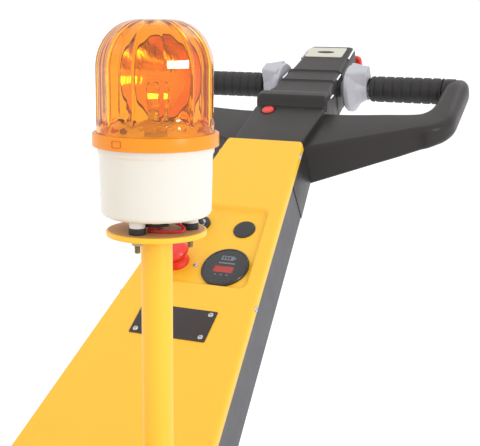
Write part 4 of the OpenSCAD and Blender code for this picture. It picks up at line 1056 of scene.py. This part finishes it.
def make_head_fittings():
    """Blank label, horn button with a near-black ring round it as painted recess shade, belly pad on its stem, and
    bright metal strips along the edges as painted highlights.
    """
    plate = slab(box_outline(-34, 27, 254, 284, 3), -1.2, -0.2, 0.3)
    badge = [(14 * math.cos(a) - 3.5, 269 + 3.6 * math.sin(a),
              0) for a in np.linspace(0, 2 * math.pi, 40, endpoint=False)]
    badge = slab(np.array(badge)[:, :2], -0.25, 0, 0.08, 2)
    remake("head_plate", "head_label", [plate, (badge, 1)], HEAD,
           [FINISHES["label_silver"], EXTRA["gauge_face"]])
    button = side_line((0, -14, 0), (3, -14, 0.3), (3, -5, 0), (8.8, -5, 0.3), (8.9, 1.2, 1.2),
                       (7.6, 2.8, 1.5), (0, 3, 0))
    remake("horn_button", "horn_push", [moved(lathe(button, 48), HORN[0], HORN[1])], HEAD)
    # Near-black ring round the horn button: painted shade of its recess.
    ring = side_line((9.4, -0.4, 0), (9.6, 0.7, 0.4), (10.8, 0.9, 0.5), (12, 0, 0))
    make_piece("horn_surround", [moved(lathe(ring, 48), HORN[0], HORN[1])], "tiller", "head_plastic",
               HEAD, [EXTRA["painted_recess_shade"]])
    pad = pillow(box_outline(-39, 39, -55, -26, 8), 303, 312, 3.4, 5)
    stem = pillow(box_outline(-22, 22, -51, -29, 2), 284, 304, 0.5)
    remake("belly_button", "belly_pad", [turned(part, (1, 3, 2)) for part in (pad, stem)], HEAD)
    # Bright metal strips along the head's upper side edges, where highlight lines show: painted highlights.
    highlight_parts = []
    for v0, v1, half0, half1, w0, w1 in ((252, 284, 38.2, 37.0, -3, -3), (181, 201, 43.4, 42.4, -1, -2.4),
                                         (118, 131, 54.6, 54.6, 3.4, 1.6)):
        route = smooth_line([(half0, v0, w0), ((half0 + half1) / 2, (v0 + v1) / 2, (w0 + w1) / 2),
                             (half1, v1, w1)], 14)
        highlight_parts.append(pipe(route, 1.5, 8))
    make_piece("highlight_strips", highlight_parts + [mirrored(part) for part in highlight_parts], "tiller", "zinc", HEAD,
               [EXTRA["highlight_metal"]])


# ---------------------------------------------------------------- truck body

def box_in(node_name, where):
    """Lowest and highest corner of a CAD node in one of the upright frames, in millimetres."""
    low, high = (np.array(corner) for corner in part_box(node_name))
    return (low - where[3]) / MM, (high - where[3]) / MM


def plan_ring(half, back, front, radius, z, steps=10):
    """Outline of the drive section at one height: square at the back, round at its two front corners."""
    outline = rounded([(-half, back, 2), (half, back, 2), (half, front, radius), (-half, front, radius)],
                      steps=steps)
    return np.column_stack([outline, np.full(len(outline), z)])


def make_hood():
    """Rear hood: plan outlines stacked up its sloped front, drawn in over the top in a rounded edge."""
    low, high = box_in("hood", STEER)
    base, top = low[2], high[2]
    edge = 16
    slope = [(base, high[1]), (top - 80, high[1] - 15), (top - 30, high[1] - 32), (top, high[1] - 58)]
    heights = np.concatenate([np.linspace(base, top - edge, 22),
                              top - edge + edge * np.sin(np.linspace(0.15, math.pi / 2, 9))])
    rings = []
    for z in heights:
        front = np.interp(z, [p[0] for p in slope], [p[1] for p in slope])
        above = max(z - (top - edge), 0)
        draw = edge - math.sqrt(max(edge ** 2 - above ** 2, 0))
        rings.append(plan_ring(high[0] - draw, low[1] + 0.2, front - draw * 0.6, 46, z))
    points, faces = sheet_grid(np.array(rings), around=True)
    columns = len(rings[0])
    faces.append(list(range((len(rings) - 1) * columns, len(rings) * columns)))
    hood = remake("hood", "motor_hood", [(points, faces)], STEER, sharp=50)
    thickened(hood, WALL)
    louvres = []
    for i in range(6):
        z = base + 76 + 22 * i
        front = np.interp(z, [p[0] for p in slope], [p[1] for p in slope])
        line = rounded([(front - 2, z - 4, 0.5), (front + 0.3, z - 5, 0.8), (front - 1.0, z + 6, 1.5),
                        (front - 4, z + 6, 0.5)], steps=3)
        ring = [np.column_stack([np.full(len(line), x), line]) for x in (-90, 90)]
        louvres.append(tube_grid(np.array(ring)))
    make_piece("hood_louvres", louvres, "chassis", "black_paint", STEER)
    bolts = []
    for x in (-1, 1):
        for z in (base + 30, base + 150):
            bolt = moved(turned(screw_head(7, 3), (1, -3, 2)), x=x * 225, y=0, z=z)
            front = np.interp(z, [p[0] for p in slope], [p[1] for p in slope])
            bolts.append(moved(mirrored(bolt, 1), y=front - 0.6))
    make_piece("hood_bolts", bolts, "chassis", "zinc", STEER)


def make_skirt():
    """Bumper skirt: a wall about the drive section with a rolled lower lip and a rub strip round it."""
    low, high = box_in("bumper_skirt", STEER)
    half, back, front, base, top = high[0], low[1], high[1], low[2], high[2]
    profile = rounded([(0, base + 1, 1.5), (0, base + 34, 2), (-2.2, base + 38, 2), (-2.2, top - 42, 2),
                       (0, top - 38, 2), (0, top, 2), (-5, top, 1.5), (-5, base, 1.5), (-1, base, 1)],
                      steps=4)
    rings = []
    for inward, z in np.vstack([profile, profile[:1]]):
        rings.append(plan_ring(half + inward, back + 0.2, front + inward, 110 + inward, z, 18))
    remake("bumper_skirt", "drive_skirt", [sheet_grid(np.array(rings), around=True)], STEER, sharp=50)


def make_deck():
    """Deck: rounded plate over the drive section with a round opening for the yoke."""
    low, high = box_in("deck_cover", STEER)
    half, back, front, base, top = high[0], low[1], high[1], low[2], high[2]
    hole = 90
    edge = 9
    rings = []
    for z, draw in [(base, 0), (top - edge, 0)] + [(top - edge + edge * math.sin(a),
                                                    edge * (1 - math.cos(a)))
                                                   for a in np.linspace(0.2, math.pi / 2, 7)]:
        rings.append(plan_ring(half - draw, back + draw * 0.2, front - draw, 92 - draw * 0.5, z))
    rings = np.array(rings)
    columns = rings.shape[1]
    directions = rings[-1, :, :2] / np.linalg.norm(rings[-1, :, :2], axis=1, keepdims=True)
    inner = [np.column_stack([directions * (hole + r), np.full(columns, z)])
             for r, z in ((3, top), (0.9, top - 0.9), (0, top - 3), (0, top - 5))]
    between = [rings[-1] * (1 - f) + inner[0] * f for f in (0.25, 0.5, 0.75)]
    skin = np.concatenate([rings, np.array(between), np.array(inner)])
    deck = remake("deck_cover", "deck_plate", [sheet_grid(skin, around=True)], STEER, sharp=50)
    thickened(deck, WALL)


def tread_wheel(radius, half, bore, lip, grooves=0, columns=96):
    """Tyre ring: rounded shoulders and, if asked for, shallow grooves round its face."""
    face = []
    if grooves:
        for g in np.linspace(-half * 0.55, half * 0.55, grooves):
            face += [(radius, g - 1.6, 0.5), (radius - 1.2, g - 0.9, 0.3), (radius - 1.2, g + 0.9, 0.3),
                     (radius, g + 1.6, 0.5)]
    profile = rounded([(bore, -half, 0), (radius - lip, -half, 1.5), (radius, -half + lip, 3)] + face
                      + [(radius, half - lip, 3), (radius - lip, half, 1.5), (bore, half, 0),
                         (bore, -half, 0)],
                      closed=False, steps=4)
    return lathe(profile, columns)


def wheel_frame(node_name):
    """Frame with its height axis along a wheel's axle, centred in the wheel, and the wheel's size."""
    low, high = (np.array(corner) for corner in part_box(node_name))
    return frame_of((low + high) / 2, ALONG, UPRIGHT, ACROSS), (high - low) / MM


def make_wheels():
    """Drive tread, load rollers and casters: ring profiles turned about their axles."""
    where, size = wheel_frame("drive_tyre")
    radius, half = size[2] / 2, size[0] / 2
    remake("drive_tyre", "drive_tread_ring", [tread_wheel(radius, half, radius - 25, 5, 3, 128)], where)
    for side in ("left", "right"):
        where, size = wheel_frame(f"load_wheel_{side}")
        radius, half = size[2] / 2, size[0] / 2 - 1.5
        hub = ring_line((8.1, -half - 1.5, 0), (14, -half - 1.5, 0.8), (14, half + 1.5, 0.8),
                        (8.1, half + 1.5, 0))
        remake(f"load_wheel_{side}", f"load_roller_{side}",
               [tread_wheel(radius, half, 13.9, 3), (lathe(hub, 48), 1)], where,
               [FINISHES["drive_tread"], FINISHES["bearing_steel"]])
        where, size = wheel_frame(f"caster_wheel_{side}")
        radius = size[2] / 2
        tyre = ring_line((radius - 14, -18, 0), (radius - 12, -20.5, 1), (radius - 4, -21, 3),
                         (radius, -15, 5), (radius, 15, 5), (radius - 4, 21, 3), (radius - 12, 20.5, 1),
                         (radius - 14, 18, 0), steps=5)
        rim = ring_line((6.1, -22, 0), (14, -22, 0.8), (16, -19.5, 1), (18, -9, 3), (28, -8, 4),
                        (radius - 15, -16, 1), (radius - 14, -18, 0), (radius - 14, 18, 0),
                        (radius - 15, 16, 1), (28, 8, 4), (18, 9, 3), (16, 19.5, 1), (14, 22, 0.8),
                        (6.1, 22, 0))
        remake(f"caster_wheel_{side}", f"caster_roller_{side}", [lathe(tyre, 80), (lathe(rim, 80), 1)],
               where, [FINISHES["caster_rubber"], FINISHES["knob_grey"]])


EDGE_ROUNDING = {"chassis_frame": 1.6, "fork_frame": 1.8, "battery_lid": 1.6, "battery": 3.0,
                 "battery_connector": 2.0, "controller": 1.2, "hydraulic_unit": 3.0, "gearbox": 3.0,
                 "drive_motor": 2.0, "tiller_yoke": 1.5, "caster_fork_left": 1.0,
                 "caster_fork_right": 1.0, "rocker_left": 1.0, "rocker_right": 1.0, "push_rod_left": 0.8,
                 "push_rod_right": 0.8, "lift_cylinder": 1.5, "drive_wheel_hub": 1.5,
                 "slew_ring_outer": 1.0, "slew_ring_inner": 1.0, "pivot_pin": 1.2, "arm_channel": 1.3,
                 "lift_rocker": 1.0, "cylinder_rod": 1.0}


def make_body():
    """CAD parts with rounded edges, then the hood, the skirt, the deck and the wheels."""
    for node_name, width in EDGE_ROUNDING.items():
        softened(node_name, width)
    make_hood()
    make_skirt()
    make_deck()
    make_wheels()


# ---------------------------------------------------------------- floor, light and camera

CAMERA_AWAY = (0.5877, -1.3856, 0.1782)
CAMERA_YAW, CAMERA_PITCH, CAMERA_ROLL = 24.26, 11.15, 0.39
LENS, SENSOR = 82.5, 36.0


def make_stage():
    """Pale floor, an even white sky and three soft lights."""
    size = 30.0
    mesh = bpy.data.meshes.new("floor")
    mesh.from_pydata([(-size, -size, 0), (size, -size, 0), (size, size, 0), (-size, size, 0)], [],
                     [(0, 1, 2, 3)])
    floor = add_object("floor", mesh)
    pale, _, shader = new_material("pale_floor")
    set_sockets(shader, {"Base_Color": (0.92, 0.92, 0.92, 1), "Roughness": 0.7,
                         "Emission_Color": (1, 1, 1, 1), "Emission_Strength": 0.2})
    mesh.materials.append(pale)
    world = bpy.data.worlds.new("studio")
    bpy.context.scene.world = world
    world.use_nodes = True
    sky = world.node_tree.nodes["Background"]
    sky.inputs[0].default_value = (1, 1, 1, 1)
    sky.inputs[1].default_value = 1.02
    bpy.context.scene.view_settings.view_transform = "Standard"
    dome = Vector(BEACON[3]) + Vector((0, 0, 0.13))
    away = Vector(arm_origin) + Vector(CAMERA_AWAY) - dome
    away.z = 0
    away.normalize()
    # A panel whose normal leans 23 degrees from the camera mirrors what stands at twice that
    mirrored_way = Matrix.Rotation(math.radians(46), 3, "Z") @ away
    lamps = (("softbox", dome + 1.5 * mirrored_way + Vector((0, 0, 0.22)), (0.22, 0.42), 7),
             ("fill", dome + Vector((-2.4, -1.0, 1.2)), (1.4, 1.4), 3),
             ("rim", dome + Vector((0.4, 2.4, 1.8)), (1.2, 1.2), 5))
    for name, spot, size, power in lamps:
        light = bpy.data.lights.new(name, "AREA")
        light.shape = "RECTANGLE"
        light.size, light.size_y = size
        light.energy = power
        lamp = add_object(name, light)
        lamp.location = spot
        lamp.rotation_euler = (dome - spot).to_track_quat("-Z", "Y").to_euler()


def make_camera():
    """Camera placed from the cover's top end, turned towards -X, looking a little down."""
    data = bpy.data.cameras.new("camera")
    data.lens, data.sensor_width = LENS, SENSOR
    data.clip_start = 0.05
    camera = add_object("camera", data)
    turn = Matrix.Rotation(math.radians(CAMERA_YAW), 4,
                           "Z") @ Matrix.Rotation(math.radians(90 - CAMERA_PITCH), 4, "X")
    camera.matrix_world = (Matrix.Translation(Vector(arm_origin) + Vector(CAMERA_AWAY)) @ turn
                           @ Matrix.Rotation(math.radians(CAMERA_ROLL), 4, "Z"))
    bpy.context.scene.camera = camera


def paint_cad_nodes():
    """Gives each CAD node that still shows the finish of its own material slot."""
    for name, cad in frame["nodes"].items():
        cad.data.materials.clear()
        cad.data.materials.append(FINISHES[SLOT_OF[name]])


paint_cad_nodes()
make_camera()
make_stage()
make_beacon()
make_beacon_inside()
make_cover()
make_arm_fittings()
make_key_and_stop()
make_head_body()
make_bow()
make_grips()
make_knobs()
make_head_fittings()
make_body()
